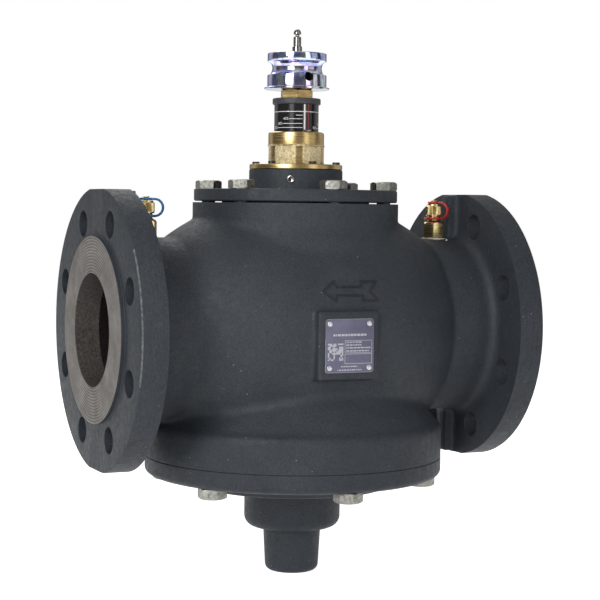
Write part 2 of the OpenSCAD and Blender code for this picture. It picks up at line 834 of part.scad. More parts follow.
module top_cover_gasket() color("#22262a") on_stem() tube(gasket_r, neck_bore_r, neck_top, cover_z);

module top_cover_screws() color("#8d8f88") on_stem() ring_of(cover_screws, top_screw_ring_r, screw_phase)
    translate([0, 0, cover_top])
        hex_screw(top_screw_d, cover_t + gasket_t + top_screw_grip, top_screw_af, top_screw_head_h);

module clamp_plate() color("#b08d3e") on_stem() difference() {
    bar(plate_r, collar_top, plate_top);
    bar(bonnet_spigot_r + bonnet_fit, collar_top - over, plate_top + over);
    ring_of(cover_screws, small_screw_ring_r, screw_phase) {
        bar(small_screw_r + thread_gap, collar_top - over, plate_top + over);
        bar(small_head_r + bonnet_fit, plate_top - small_sink, plate_top + over);
    }
}

module clamp_plate_screws() color("#1c1c1e") on_stem() ring_of(cover_screws, small_screw_ring_r, screw_phase)
    difference() {
        head_top = plate_top - small_sink + small_head_h;
        union() {
            bar(small_head_r, plate_top - small_sink, head_top);
            bar(small_screw_r, collar_top - small_screw_l, plate_top);
        }
        hexagon(small_socket_af, head_top - small_socket_h, head_top + over);
    }

module collar_set_screw() color("#9a9a94") on_stem() set_screw_place() difference() {
    bar(set_screw_r, bonnet_spigot_r, collar_r - bonnet_fit);
    hexagon(set_socket_af, collar_r - set_socket_h, collar_r + over);
}

module bonnet() color("#b08d3e") on_stem() difference() {
    union() {
        intersection() {
            rotate([0, 0, brass_turn]) hexagon(bonnet_af, plate_top, hex_top);
            rotate_extrude() polygon([[0, plate_top], [bonnet_corner_r, plate_top],
                [bonnet_corner_r, hex_top - bonnet_edge], [bonnet_corner_r - bonnet_edge, hex_top],
                [0, hex_top]]);
        }
        rotate_extrude() polygon(concat([[0, plate_top], [bonnet_corner_r - bonnet_edge, plate_top]],
            [[bonnet_af / 2 * washer_face_share, hex_top - bonnet_edge], [bonnet_r, hex_top]],
            arc(bonnet_r - bonnet_edge, bonnet_top - bonnet_edge, bonnet_edge, 0, 90), [[0, bonnet_top]]));
    }
    bar(bonnet_bore_r, plate_top - over, bonnet_top + over);
}

// The lower end of the brass bonnet, which the clamp plate holds in the collar
module bonnet_spigot() color("#b08d3e") on_stem() difference() {
    union() {
        bar(bonnet_spigot_r, collar_floor + 2 * bonnet_seal_r, plate_top);
        bar(bonnet_flange_r, collar_top - bonnet_flange_h, collar_top);
    }
    bar(bonnet_bore_r, collar_floor, plate_top + over);
}

module bonnet_seal() color("#1b1b1b") on_stem()
    o_ring((bonnet_spigot_r + bonnet_bore_r) / 2, bonnet_seal_r, collar_floor);

module stem_bush() color("#a5803a") on_stem()
    tube(stem_bush_r, stem_rod_r + running_gap, gland_bottom - stem_bush_h, gland_bottom);

module stem_seals() color("#1b1b1b") on_stem() for (i = [0, 1])
    o_ring(stem_rod_r + running_gap + seal_r, seal_r, gland_bottom + i * 2 * seal_r);

module gland_ring() color("#b08d3e") on_stem() difference() {
    union() {
        bar(gland_r, gland_bottom + 4 * seal_r, collar_floor);
        bar(gland_flange_r, collar_floor, gland_top);
    }
    bar(stem_rod_r + running_gap, gland_bottom, gland_top + over);
}

module stem_spring() color("#9a9ca0") on_stem()
    coil_spring(stem_spring_turns, stem_spring_r, stem_wire_r,
        gland_top + spring_end_gap, spring_cup_z - spring_end_gap);

module seat_cage() color("#a5803a") on_stem() difference() {
    union() {
        bar(cage_r, -cage_down_h, cage_up_h);
        bar(cage_flange_r, cage_flange_z, cage_flange_z + cage_flange_t);
    }
    bar(cage_bore_r, lower_seat_z, cage_up_h + over);
    bar(cage_bore_r - cage_lip, -cage_down_h - over, cage_up_h);
}

module cage_gasket() color("#22262a") on_stem()
    tube(cage_flange_r, cage_r + bonnet_fit, web_top, cage_flange_z);

module upper_seat() color("#a8aaad") on_stem() difference() {
    union() {
        bar(cage_bore_r, upper_seat_top - upper_seat_h, upper_seat_top);
        bar(cage_r, cage_up_h, upper_seat_top);
    }
    bar(upper_seat_r, upper_seat_top - upper_seat_h - over, upper_seat_top + over);
}

module lower_seat() color("#a8aaad") on_stem() tube(cage_bore_r, lower_seat_r, lower_seat_z, lower_seat_top);

module guide_plate() color("#8e9196") on_stem() difference() {
    bar(skirt_bore_r - guide_fit, guide_plate_z, guide_ledge_z);
    bar(guide_bush_r, guide_plate_z - over, guide_ledge_z + over);
    tube(skirt_bore_r + over, skirt_bore_r - 2 * guide_seal_r - guide_fit,
        guide_plate_z + guide_plate_t / 2 - guide_seal_r, guide_plate_z + guide_plate_t / 2 + guide_seal_r);
}

module guide_plate_seal() color("#1b1b1b") on_stem()
    o_ring(skirt_bore_r - guide_seal_r, guide_seal_r, guide_plate_z + guide_plate_t / 2 - guide_seal_r);

module guide_plate_ring() color("#8a8c90") on_stem()
    tube(skirt_bore_r + guide_ring_depth - guide_fit, skirt_bore_r - guide_ring_w,
        guide_plate_z - guide_ring_t, guide_plate_z);

module guide_bush() color("#a5803a") on_stem()
    tube(guide_bush_r, spindle_top_r + running_gap, guide_plate_z, guide_ledge_z + guide_bush_up);

// Level of the diaphragm's upper side at share t of the way from the plates to the rim
function diaphragm_at(t) = diaphragm_top + (seam_z - diaphragm_top) * (1 - cos(180 * t)) / 2
    - diaphragm_dip * sin(180 * t);

module diaphragm() color("#26282b") on_stem() difference() {
    free_w = base_cavity_r - diaphragm_plate_r;
    upper = [for (i = [0 : arc_steps]) let (t = i / arc_steps)
        [diaphragm_plate_r + free_w * t, diaphragm_at(t)]];
    lower = [for (i = [arc_steps : -1 : 0]) [upper[i][0], upper[i][1] - diaphragm_t]];
    rotate_extrude() polygon(concat([[0, diaphragm_top]], upper, [[diaphragm_r, seam_z],
        [diaphragm_r, seam_z - diaphragm_t]], lower, [[0, lower_plate_top]]));
    bar(spindle_top_r, lower_plate_z, upper_plate_top);
}

module diaphragm_spring() color("#9a9ca0") on_stem()
    coil_spring(diaphragm_spring_turns, diaphragm_spring_r, diaphragm_wire_r,
        spring_seat_z + spring_seat_t + spring_end_gap, lower_plate_z - spring_end_gap);

module spring_seat() color("#8a8c90") on_stem()
    tube(boss_bore_r - spring_seat_fit, stub_bush_r, spring_seat_z, spring_seat_z + spring_seat_t);

module stub_bush() color("#a5803a") on_stem()
    tube(stub_bush_r, spindle_r + running_gap, spring_seat_z - stub_bush_h, spring_seat_z);

module bottom_cover() color("#3b4149") on_stem() difference() {
    rotate_extrude() polygon(concat(
        [[0, stub_z]],
        arc(stub_foot_r - stub_round_r, stub_z + stub_round_r, stub_round_r, -90, 0),
        [[stub_top_r, boss_z]],
        arc(boss_r - boss_round_r, boss_z + boss_round_r, boss_round_r, -90, 0),
        [[boss_r, base_step_z], [base_step_r, base_step_z], [base_step_r + base_slope, base_under_z]],
        [for (i = [0 : arc_steps]) let (t = 90 * i / arc_steps)
            [skirt_r - base_round_r + base_round_r * sin(t),
             seam_z - base_rim_h - (base_t - base_rim_h) * cos(t)]],
        [[skirt_r, seam_z], [0, seam_z]]));
    bar(diaphragm_r, seam_z - diaphragm_t, seam_z + over);
    bar(base_cavity_r, base_floor_z, seam_z);
    bar(boss_bore_r, boss_floor_z, base_floor_z + over);
    bar(stub_bush_r, spring_seat_z - stub_bush_h, boss_floor_z + over);
    bar(stub_bore_r, stub_z + stub_floor, boss_floor_z);
    ring_of(cover_screws, base_screw_ring_r, screw_phase)
        bar(base_screw_d / 2 + screw_gap, base_under_z - over, seam_z + over);
    // Outlet pressure reaches the underside of the diaphragm through this passage
    passage_z = seam_z - diaphragm_t - 2 * passage_r;
    translate([-passage_x_r, 0, 0]) bar(passage_r, passage_z - passage_r, seam_z + over);
    translate([-passage_x_r, 0, passage_z]) rotate([0, 90, 0])
        bar(passage_r * cross_drill_share, 0, passage_x_r - base_cavity_r + over);
}

module bottom_cover_screws() color("#8d8f88") on_stem() ring_of(cover_screws, base_screw_ring_r, screw_phase)
    translate([0, 0, base_under_z]) rotate([180, 0, 0])
        hex_screw(base_screw_d, base_t + base_screw_grip, base_screw_af, base_screw_head_h);

module rivet_places() translate([label_x, pad_front_y, label_z]) for (sx = [-1, 1], sz = [-1, 1])
    translate([sx * label_w * rivet_inset_share, 0, sz * label_h * rivet_inset_share]) children();

module label_plate() color("#565374") difference() {
    translate([label_x, pad_front_y, label_z]) rounded_plate(label_w, label_h, label_t, label_corner_r);
    rivet_places() rotate([90, 0, 0]) bar(rivet_r + thread_gap, -over, label_t + over);
}

module label_rivets() color("#8a8b90") rivet_places() {
    rotate([-90, 0, 0]) bar(rivet_r, -label_t, rivet_l);
    translate([0, -label_t, 0]) rotate([90, 0, 0]) rotate_extrude()
        polygon(concat([[0, 0], [rivet_head_r, 0]],
            [for (i = [1 : arc_steps]) let (t = 90 * i / arc_steps)
                [rivet_head_r * cos(t), rivet_head_h * sin(t)]]));
}

module nipple(side, lift) color("#b08d3e") on_stem() translate([side * plug_offset, 0, 0]) difference() {
    union() {
        bar(nipple_thread_r, spot_z - nipple_thread_h, spot_z + lift + over);
        rotate([0, 0, flat_turn]) turned_hexagon(nipple_af, spot_z + lift, nipple_top);
    }
    bar(nipple_bore_r, spot_z - nipple_thread_h - over, nipple_top + over);
}

module nipple_neck(side) color("#b08d3e") on_stem() translate([side * plug_offset, 0, 0])
    tube(nipple_r, nipple_bore_r, nipple_top, nipple_top + nipple_neck_h);

module outlet_nipple() nipple(-1, 0);
module inlet_nipple() nipple(1, seal_ring_t);
module outlet_neck() nipple_neck(-1);
module inlet_neck() nipple_neck(1);

module plug_cores() color("#1b1b1b") on_stem() for (side = [-1, 1])
    translate([side * plug_offset, 0, 0]) bar(nipple_bore_r, nipple_top, nipple_top + nipple_core_h);

module inlet_seal_ring() color("#e8e6de") on_stem() translate([plug_offset, 0, 0])
    tube(nipple_thread_r + seal_ring_w, nipple_thread_r, spot_z, spot_z + seal_ring_t);

module stem() color("#a9abae") on_stem() difference() {
    union() {
        bar(stem_end_r, stem_bottom, plug_top);
        bar(stem_rod_r, plug_top, spring_cup_z);
        bar(stem_r, spring_cup_z, stem_shank_z);
        bar(stem_shank_r, stem_shank_z, stem_neck_z);
        bar(stem_neck_r, stem_neck_z, stem_head_z);
        rotate_extrude() polygon(concat([[0, stem_head_z], [stem_head_r, stem_head_z]],
            [for (i = [1 : arc_steps]) let (t = 90 * i / arc_steps)
                [stem_head_r * cos(t), stem_head_z + stem_head_h * (1 + 2 * sin(t)) / 3]]));
    }
    tube(stem_rod_r, stem_r - circlip_groove, circlip_z, circlip_top);
}

module control_plug() color("#a8aaad") on_stem() difference() {
    bar(plug_r, plug_bottom + plug_seal_t, plug_top);
    bar(stem_end_r, plug_bottom, plug_top + over);
}

module control_plug_seal() color("#1b1b1b") on_stem()
    tube(plug_seal_out_r, plug_seal_in_r, plug_bottom, plug_bottom + plug_seal_t);

module control_plug_nut() color("#9a9a94") on_stem() difference() {
    turned_hexagon(plug_nut_af, plug_nut_z, plug_bottom + plug_seal_t);
    bar(stem_end_r, plug_nut_z - over, plug_top);
}

module spring_cup() color("#8a8c90") on_stem() tube(spring_cup_r, stem_r, spring_cup_z, circlip_z);

module circlip() color("#55585c") on_stem() tube(circlip_r, stem_r - circlip_groove, circlip_z, circlip_top);

module stop_bush() color("#a8aaad") on_stem() difference() {
    union() {
        bar(stop_flange_r, stop_flange_top - stop_flange_t, stop_flange_top);
        bar(stop_tube_r, stop_flange_top - stop_flange_t, ring_top - stop_end_drop);
    }
    bar(stem_r + running_gap, stop_flange_top - stop_flange_t - over, ring_top + over);
}

module scale_sleeve() color("#17181a") on_stem() tube(sleeve_r, sleeve_bore_r, sleeve_bottom, sleeve_top);

module cap_ring() color("#2b2c2e") on_stem() difference() {
    edged_disc(cap_ring_r, sleeve_top, cap_ring_top, ring_edge);
    bar(cap_ring_bore_r, sleeve_top - over, cap_ring_top + over);
}

module drive_hexagon() color("#b08d3e") on_stem() difference() {
    union() {
        rotate([0, 0, brass_turn]) turned_hexagon(drive_af, cap_ring_top, drive_top);
        bar(drive_spigot_r, cap_ring_top + over, drive_top + drive_spigot_h);
    }
    bar(stop_tube_r + ring_bore_gap, cap_ring_top - over, drive_top + drive_spigot_h + over);
}

module actuator_ring() color("#7d86b8") on_stem() difference() {
    groove_depth = (ring_low_r + ring_top_r) / 2 - ring_waist_r;
    rotate_extrude() polygon(concat(
        [[0, drive_top], [ring_foot_r, drive_top], [ring_foot_r, drive_top + ring_foot_h],
         [ring_low_r, drive_top + ring_foot_h], [ring_low_r, ring_low_top - ring_edge]],
        [for (i = [0 : 2 * arc_steps])
            let (t = 90 * i / arc_steps, r = i < arc_steps ? ring_low_r : ring_top_r)
            [r - ring_edge - (groove_depth - ring_edge) * sin(t),
             ring_low_top + ring_groove_h * (1 - cos(t)) / 2]],
        [[ring_top_r, ring_groove_top + ring_edge], [ring_top_r, ring_top - ring_edge],
         [ring_top_r - ring_edge, ring_top], [0, ring_top]]));
    bar(stop_tube_r + ring_bore_gap, drive_top - over, ring_top + over);
    bar(drive_spigot_r, drive_top - over, drive_top + drive_spigot_h);
    translate([0, 0, drive_top + ring_foot_h + bar_hole_up])
        rotate([90, 0, 0]) bar(bar_hole_d / 2, drive_spigot_r + ring_edge, ring_foot_r + over);
}

module regulator_spindle() color("#a9abae") on_stem() difference() {
    union() {
        bar(spindle_r, spindle_bottom, lower_plate_z);
        bar(spindle_collar_r, lower_plate_z - spindle_collar_t, lower_plate_z);
        bar(spindle_top_r, lower_plate_z, throttle_z);
        bar(spindle_tip_r, throttle_z, throttle_top + throttle_nut_h + spindle_tip_h);
    }
    bar(spindle_drill_r, upper_plate_top, throttle_top + throttle_nut_h + spindle_tip_h + over);
    translate([0, 0, guide_plate_z - upper_hub_gap / 2]) rotate([90, 0, 0])
        bar(spindle_drill_r / 2, -spindle_r, spindle_r);
}

module throttle_plug() color("#a8aaad") on_stem() tube(throttle_r, spindle_tip_r, throttle_z, throttle_top);

module throttle_seal() color("#1b1b1b") on_stem()
    tube(throttle_r - seat_wall, lower_seat_r - throttle_seal_t, throttle_seal_z, throttle_z);

module throttle_nut() color("#9a9a94") on_stem() difference() {
    turned_hexagon(throttle_nut_af, throttle_top, throttle_top + throttle_nut_h);
    bar(spindle_tip_r, throttle_z, throttle_top + throttle_nut_h + over);
}

module upper_diaphragm_plate() color("#8e9196") on_stem() difference() {
    union() {
        bar(diaphragm_plate_r, diaphragm_top, upper_plate_top);
        bar(upper_hub_r, upper_plate_top, upper_plate_top + upper_hub_h);
    }
    bar(spindle_top_r, diaphragm_top - over, guide_plate_z);
}

module lower_diaphragm_plate() color("#8e9196") on_stem() {
    tube(diaphragm_plate_r, spindle_top_r, lower_plate_z, lower_plate_top);
    guide_out_r = boss_bore_r - 4 * free_gap;
    tube(guide_out_r, guide_out_r - spring_guide_wall, lower_plate_z - spring_guide_h, lower_plate_z);
}

// The strap is one band bent round from the eye on the cap to the eye on the neck
module strap(side, turn) on_stem() translate([side * plug_offset, 0, 0]) rotate([0, 0, -turn]) {
    top = upper_eye_z + strap_t;
    mid_z = (top + lower_eye_z) / 2;
    bend_r = (top - lower_eye_z) / 2;
    bend_x = strap_reach - bend_r;
    tube(eye_r + eye_wall, eye_r, upper_eye_z, top);
    tube(lower_eye_r + eye_wall, lower_eye_r, lower_eye_z, lower_eye_z + strap_t);
    difference() {
        translate([0, strap_w / 2, mid_z]) rotate([90, 0, 0]) linear_extrude(height = strap_w) difference() {
            union() {
                translate([bend_x, 0]) circle(r = bend_r);
                translate([0, -bend_r]) square([bend_x, 2 * bend_r]);
            }
            translate([bend_x, 0]) circle(r = bend_r - strap_t);
            translate([-over, strap_t - bend_r]) square([bend_x + over, 2 * (bend_r - strap_t)]);
            translate([-2 * bend_r, -bend_r]) square(2 * bend_r);
        }
        bar(eye_r + eye_wall / 2, upper_eye_z - over, top + over);
        bar(lower_eye_r + eye_wall / 2, lower_eye_z - over, lower_eye_z + strap_t + over);
    }
}

module test_cap(side) on_stem() translate([side * plug_offset, 0, 0]) difference() {
    union() {
        rotate_extrude() polygon([[0, cap_z], [test_cap_r, cap_z], [test_cap_r, cap_top - cap_bevel],
            [test_cap_r - cap_bevel, cap_top], [0, cap_top]]);
        bar(cap_pin_r, cap_top - over, cap_top + cap_pin_h);
        bar(cap_pin_head_r, cap_top + cap_pin_h, cap_top + cap_pin_h + cap_pin_head_h);
    }
    bar(cap_cavity_r, cap_z - over, cap_top - cap_roof);
    ring_of(knurls, test_cap_r + knurl_depth, 0) bar(2 * knurl_depth, cap_z - over, cap_top + over);
}

module outlet_strap() color("#2c62b8") strap(-1, outlet_strap_turn);
module outlet_cap() color("#b08d3e") test_cap(-1);
module inlet_strap() color("#c62a2c") strap(1, inlet_strap_turn);
module inlet_cap() color("#b08d3e") test_cap(1);

body_casting();
outlet_flange();
inlet_flange();
chamber_ring();
top_cover();
top_cover_gasket();
top_cover_screws();
clamp_plate();
clamp_plate_screws();
collar_set_screw();
bonnet();
bonnet_spigot();
bonnet_seal();
stem_bush();
stem_seals();
gland_ring();
stem_spring();
seat_cage();
cage_gasket();
upper_seat();
lower_seat();
guide_plate();
guide_plate_seal();
guide_plate_ring();
guide_bush();
diaphragm();
diaphragm_spring();
spring_seat();
stub_bush();
bottom_cover();
bottom_cover_screws();
label_plate();
label_rivets();
outlet_nipple();
inlet_nipple();
outlet_neck();
inlet_neck();
plug_cores();
inlet_seal_ring();
stem();
control_plug();
control_plug_seal();
control_plug_nut();
spring_cup();
circlip();
stop_bush();
scale_sleeve();
cap_ring();
drive_hexagon();
actuator_ring();
regulator_spindle();
throttle_plug();
throttle_seal();
throttle_nut();
upper_diaphragm_plate();
lower_diaphragm_plate();
outlet_strap();
outlet_cap();
inlet_strap();
inlet_cap();
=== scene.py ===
# %% [markdown]
# # A flanged control valve, dressed for its portrait
# The valve regulates water in a pipe. Its cast body carries two flanges, its top carries the
# brass and zinc parts that an actuator grips, and its bottom holds a pressure regulator.
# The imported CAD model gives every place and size. This lesson gives it cast paint, turned
# metal and rounded edges, one piece at a time.

import math
import random

import bpy
from mathutils import Matrix, Vector


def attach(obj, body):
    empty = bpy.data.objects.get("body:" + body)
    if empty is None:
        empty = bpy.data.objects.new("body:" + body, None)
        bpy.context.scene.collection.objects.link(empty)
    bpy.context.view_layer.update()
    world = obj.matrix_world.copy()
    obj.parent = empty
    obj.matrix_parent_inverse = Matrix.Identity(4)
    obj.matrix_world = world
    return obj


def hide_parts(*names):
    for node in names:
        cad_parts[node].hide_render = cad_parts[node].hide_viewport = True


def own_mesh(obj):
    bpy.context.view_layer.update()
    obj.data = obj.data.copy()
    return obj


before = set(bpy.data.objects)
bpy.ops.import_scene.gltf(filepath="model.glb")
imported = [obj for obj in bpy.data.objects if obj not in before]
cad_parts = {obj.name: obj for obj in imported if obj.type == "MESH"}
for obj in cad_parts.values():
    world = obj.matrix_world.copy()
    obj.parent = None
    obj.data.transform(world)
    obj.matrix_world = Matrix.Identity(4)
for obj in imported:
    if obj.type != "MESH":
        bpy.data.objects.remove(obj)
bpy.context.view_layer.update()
MM = 0.001
print("CAD nodes:", len(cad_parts))

# %% [markdown]
# Lengths below are in millimetres, as a maker would measure them, and become metres where
# a mesh is made. The stem stands over the middle of the pipe.

# %% Main lengths of the valve
PIPE_LENGTH = 310.0
STEM_X = PIPE_LENGTH / 2
FLANGE_RADIUS = 100.0
FLANGE_BACK = 133.0
FLANGE_FRONT = 152.0
FACE_RADIUS = 66.0
PORT_RADIUS = 40.0
BARREL_RADIUS = 97.0
BARREL_ARC = 167.6
TUBE_RADIUS = 65.0
NECK_RADIUS = 75.3
NECK_TOP = 90.2
SEAM = -93.5
SKIRT_RADIUS = 109.0
SKIRT_SHOULDER = -73.0
RIM_FLAT = 98.4
LABEL_X, LABEL_Z, LABEL_FRONT = STEM_X - 3.4, -6.5, -100.0
LABEL_WIDTH, LABEL_HEIGHT = 36.4, 36.8


def barrel_radius(along, grow=0.0):
    """Radius of the barrel at a distance along the pipe from the stem."""
    return BARREL_RADIUS - BARREL_ARC + grow + math.sqrt(BARREL_ARC**2 - along**2)


def barrel_end(radius):
    """Distance from the stem at which the barrel has come down to a radius."""
    return math.sqrt(BARREL_ARC**2 - (radius - BARREL_RADIUS + BARREL_ARC) ** 2)


def arc_points(cx, cy, radius, start, end, steps=6):
    """Points (radius, height) on an arc, with its angles in degrees."""
    turns = [math.radians(start + (end - start) * i / steps) for i in range(steps + 1)]
    return [(cx + radius * math.cos(t), cy + radius * math.sin(t)) for t in turns]


# %% [markdown]
# ## Working by hand, in code
# Operators act on whatever is selected, so each step starts with nothing selected. Most
# parts of a valve are turned on a lathe. A turned piece starts as one circle, which is
# extruded and scaled step by step along its outline, exactly as one would do it by hand.

# %% Helpers for modelling


def deselect():
    """Leaves nothing selected, in object mode."""
    if bpy.context.object and bpy.context.object.mode != "OBJECT":
        bpy.ops.object.mode_set(mode="OBJECT")
    bpy.ops.object.select_all(action="DESELECT")


def only(piece):
    """Selects one piece and makes it active."""
    deselect()
    piece.select_set(True)
    bpy.context.view_layer.objects.active = piece


def settle(piece):
    """Puts a piece's place into its mesh, so that its object sits at the origin."""
    only(piece)
    bpy.ops.object.transform_apply(location=True, rotation=True, scale=True)


def turned(name, outline, at=(STEM_X, 0, 0), along="Z", sides=96, closed=True):
    """A turned piece. Its outline lists (radius, height) points in millimetres."""
    deselect()
    radius, height = outline[0]
    bpy.ops.mesh.primitive_circle_add(vertices=sides, radius=radius * MM, location=(0, 0, height * MM))
    piece = bpy.context.object
    piece.name = name
    bpy.ops.object.mode_set(mode="EDIT")
    bpy.ops.mesh.select_all(action="SELECT")
    if not closed:
        bpy.ops.mesh.edge_face_add()
    for new_radius, new_height in outline[1:] + (outline[:1] if closed else []):
        rise = (new_height - height) * MM
        bpy.ops.mesh.extrude_region_move(TRANSFORM_OT_translate={"value": (0, 0, rise)})
        share = new_radius / radius
        bpy.ops.transform.resize(value=(share, share, 1), center_override=(0, 0, new_height * MM))
        radius, height = new_radius, new_height
    if not closed:
        bpy.ops.mesh.edge_face_add()
    bpy.ops.mesh.select_all(action="SELECT")
    bpy.ops.mesh.remove_doubles(threshold=0.002 * MM)
    bpy.ops.mesh.normals_make_consistent(inside=False)
    bpy.ops.object.mode_set(mode="OBJECT")
    settle(piece)
    turn = Matrix.Rotation(math.radians(90), 4, "Y") if along == "X" else Matrix.Identity(4)
    piece.data.transform(Matrix.Translation(Vector(at) * MM) @ turn)
    return piece


def block(name, low, high):
    """A box between two corners in millimetres."""
    deselect()
    middle = [(a + b) / 2 * MM for a, b in zip(low, high)]
    bpy.ops.mesh.primitive_cube_add(size=1, location=middle)
    piece = bpy.context.object
    piece.name = name
    piece.scale = [(b - a) * MM for a, b in zip(low, high)]
    settle(piece)
    return piece


def rod(name, radius, start, end, sides=48):
    """A round bar between two points in millimetres."""
    deselect()
    a, b = Vector(start) * MM, Vector(end) * MM
    bpy.ops.mesh.primitive_cylinder_add(vertices=sides, radius=radius * MM, depth=(b - a).length)
    piece = bpy.context.object
    piece.name = name
    turn = (b - a).to_track_quat("Z", "Y").to_matrix().to_4x4()
    piece.data.transform(Matrix.Translation((a + b) / 2) @ turn)
    return piece


def joined(name, pieces):
    """Several meshes as one piece."""
    deselect()
    for piece in pieces:
        piece.select_set(True)
    bpy.context.view_layer.objects.active = pieces[0]
    if len(pieces) > 1:
        bpy.ops.object.join()
    pieces[0].name = name
    return pieces[0]


def combine(piece, tool, operation="DIFFERENCE", solver="MANIFOLD"):
    """Cuts, adds or keeps what a tool shares with a piece, and throws the tool away."""
    only(piece)
    step = piece.modifiers.new("tool", "BOOLEAN")
    step.operation = operation
    step.solver = solver
    step.object = tool
    bpy.ops.object.modifier_apply(modifier=step.name)
    bpy.data.objects.remove(tool)


def round_edges(piece, width, segments=2, angle=35.0):
    """Rounds the sharp edges of a piece by a width in millimetres."""
    only(piece)
    step = piece.modifiers.new("round", "BEVEL")
    step.width = width * MM
    step.segments = segments
    step.limit_method = "ANGLE"
    step.angle_limit = math.radians(angle)
    step.harden_normals = False
    bpy.ops.object.modifier_apply(modifier=step.name)


def smooth(piece, angle=32.0):
    """Shades a piece smoothly but keeps its real edges crisp."""
    only(piece)
    bpy.ops.object.shade_smooth_by_angle(angle=math.radians(angle))


def copy_of(piece, name):
    """A copy of a piece with its own mesh."""
    twin = piece.copy()
    twin.data = piece.data.copy()
    twin.name = name
    bpy.context.scene.collection.objects.link(twin)
    return twin


def ring_copies(piece, count, phase, name):
    """Copies of a piece made at the stem axis, turned about it and joined as one."""
    centre = Matrix.Translation((STEM_X * MM, 0, 0))
    pieces = []
    for i in range(count):
        twin = copy_of(piece, f"{name}_{i}")
        turn = Matrix.Rotation(math.radians(phase + 360 / count * i), 4, "Z")
        twin.data.transform(centre @ turn @ centre.inverted())
        pieces.append(twin)
    bpy.data.objects.remove(piece)
    return joined(name, pieces)


def triangles(piece):
    """How many triangles a piece has."""
    return sum(len(face.vertices) - 2 for face in piece.data.polygons)


print("helpers ready")

# %% [markdown]
# ## Finishes
# Every finish is made of nodes that read Object coordinates, so the pattern stays on the
# metal. One tool mixes tones by noise, one spreads roughness, one raises the grain.

# %% Helpers for finishes


class Finish:
    """A material under construction."""

    def __init__(self, name, metallic=0.0, specular=0.5):
        self.material = bpy.data.materials.new(name)
        self.material.use_nodes = True
        self.tree = self.material.node_tree
        self.shader = self.tree.nodes["Principled BSDF"]
        self.shader.inputs["Metallic"].default_value = metallic
        self.shader.inputs["Specular IOR Level"].default_value = specular
        self.place = self.tree.nodes.new("ShaderNodeTexCoord").outputs["Object"]
        self.height = None

    def link(self, source, target):
        self.tree.links.new(source, target)
        return target

    def moved(self, centre=(0, 0, 0), stretch=(1, 1, 1)):
        """Object coordinates about a centre in millimetres, stretched."""
        node = self.tree.nodes.new("ShaderNodeMapping")
        node.inputs["Location"].default_value = [-c * MM * s for c, s in zip(centre, stretch)]
        node.inputs["Scale"].default_value = stretch
        self.link(self.place, node.inputs["Vector"])
        return node.outputs["Vector"]

    def noise(self, size, detail=4.0, rough=0.55, place=None):
        """Noise whose features are about size millimetres."""
        node = self.tree.nodes.new("ShaderNodeTexNoise")
        node.inputs["Scale"].default_value = 1 / (size * MM)
        node.inputs["Detail"].default_value = detail
        node.inputs["Roughness"].default_value = rough
        self.link(place or self.place, node.inputs["Vector"])
        return node.outputs["Fac"]

    def rings(self, pitch, centre, axis, bend=0.0):
        """Rings about an axis, one every pitch millimetres."""
        node = self.tree.nodes.new("ShaderNodeTexWave")
        node.wave_type = "RINGS"
        node.rings_direction = axis
        node.inputs["Scale"].default_value = 2 * math.pi / 20 / (pitch * MM)
        node.inputs["Distortion"].default_value = bend
        node.inputs["Detail"].default_value = 1.0
        self.link(self.moved(centre), node.inputs["Vector"])
        return node.outputs["Fac"]

    def spread(self, factor, low, high, start=0.3, end=0.7):
        """Maps a factor between start and end to values between low and high."""
        node = self.tree.nodes.new("ShaderNodeMapRange")
        for name, value in zip(("From Min", "From Max", "To Min", "To Max"), (start, end, low, high)):
            node.inputs[name].default_value = value
        self.link(factor, node.inputs["Value"])
        return node.outputs["Result"]

    def ramp(self, factor, stops):
        """A colour by factor. Stops are (position, colour) pairs."""
        node = self.tree.nodes.new("ShaderNodeValToRGB")
        ramp = node.color_ramp
        while len(ramp.elements) < len(stops):
            ramp.elements.new(0.5)
        for element, (position, colour) in zip(ramp.elements, stops):
            element.position = position
            element.color = (*colour, 1)
        self.link(factor, node.inputs["Fac"])
        return node.outputs["Color"]

    def mix(self, factor, first, second, blend="MIX"):
        """Mixes two colours. Each is a socket or an (r, g, b)."""
        node = self.tree.nodes.new("ShaderNodeMix")
        node.data_type = "RGBA"
        node.blend_type = blend
        for socket, value in ((node.inputs[0], factor), (node.inputs[6], first), (node.inputs[7], second)):
            if isinstance(value, bpy.types.NodeSocket):
                self.link(value, socket)
            elif isinstance(value, tuple):
                socket.default_value = (*value, 1)
            else:
                socket.default_value = value
        return node.outputs[2]

    def product(self, first, second):
        """Multiplies two values."""
        node = self.tree.nodes.new("ShaderNodeMath")
        node.operation = "MULTIPLY"
        for socket, value in zip(node.inputs, (first, second)):
            if isinstance(value, bpy.types.NodeSocket):
                self.link(value, socket)
            else:
                socket.default_value = value
        return node.outputs[0]

    def bump(self, factor, depth, strength=1.0):
        """Raises the surface by a factor, depth millimetres at most."""
        node = self.tree.nodes.new("ShaderNodeBump")
        node.inputs["Strength"].default_value = strength
        node.inputs["Distance"].default_value = depth * MM
        self.link(factor, node.inputs["Height"])
        if self.height is not None:
            self.link(self.height, node.inputs["Normal"])
        self.height = node.outputs["Normal"]
        self.link(self.height, self.shader.inputs["Normal"])

    def colour(self, source):
        """Sets the base colour to a socket."""
        self.link(source, self.shader.inputs["Base Color"])

    def roughness(self, source):
        """Sets the roughness to a number or a socket."""
        if isinstance(source, bpy.types.NodeSocket):
            self.link(source, self.shader.inputs["Roughness"])
        else:
            self.shader.inputs["Roughness"].default_value = source


def simple_finish(name, dark, light, metallic, rough, size, depth, specular=0.5):
    """A finish of two mottled tones with a light grain."""
    f = Finish(name, metallic, specular)
    f.colour(f.ramp(f.noise(size, 5), [(0.3, dark), (0.7, light)]))
    f.roughness(f.spread(f.noise(size * 0.7, 3), rough[0], rough[1]))
    f.bump(f.noise(size * 0.25, 3), depth)
    return f.material


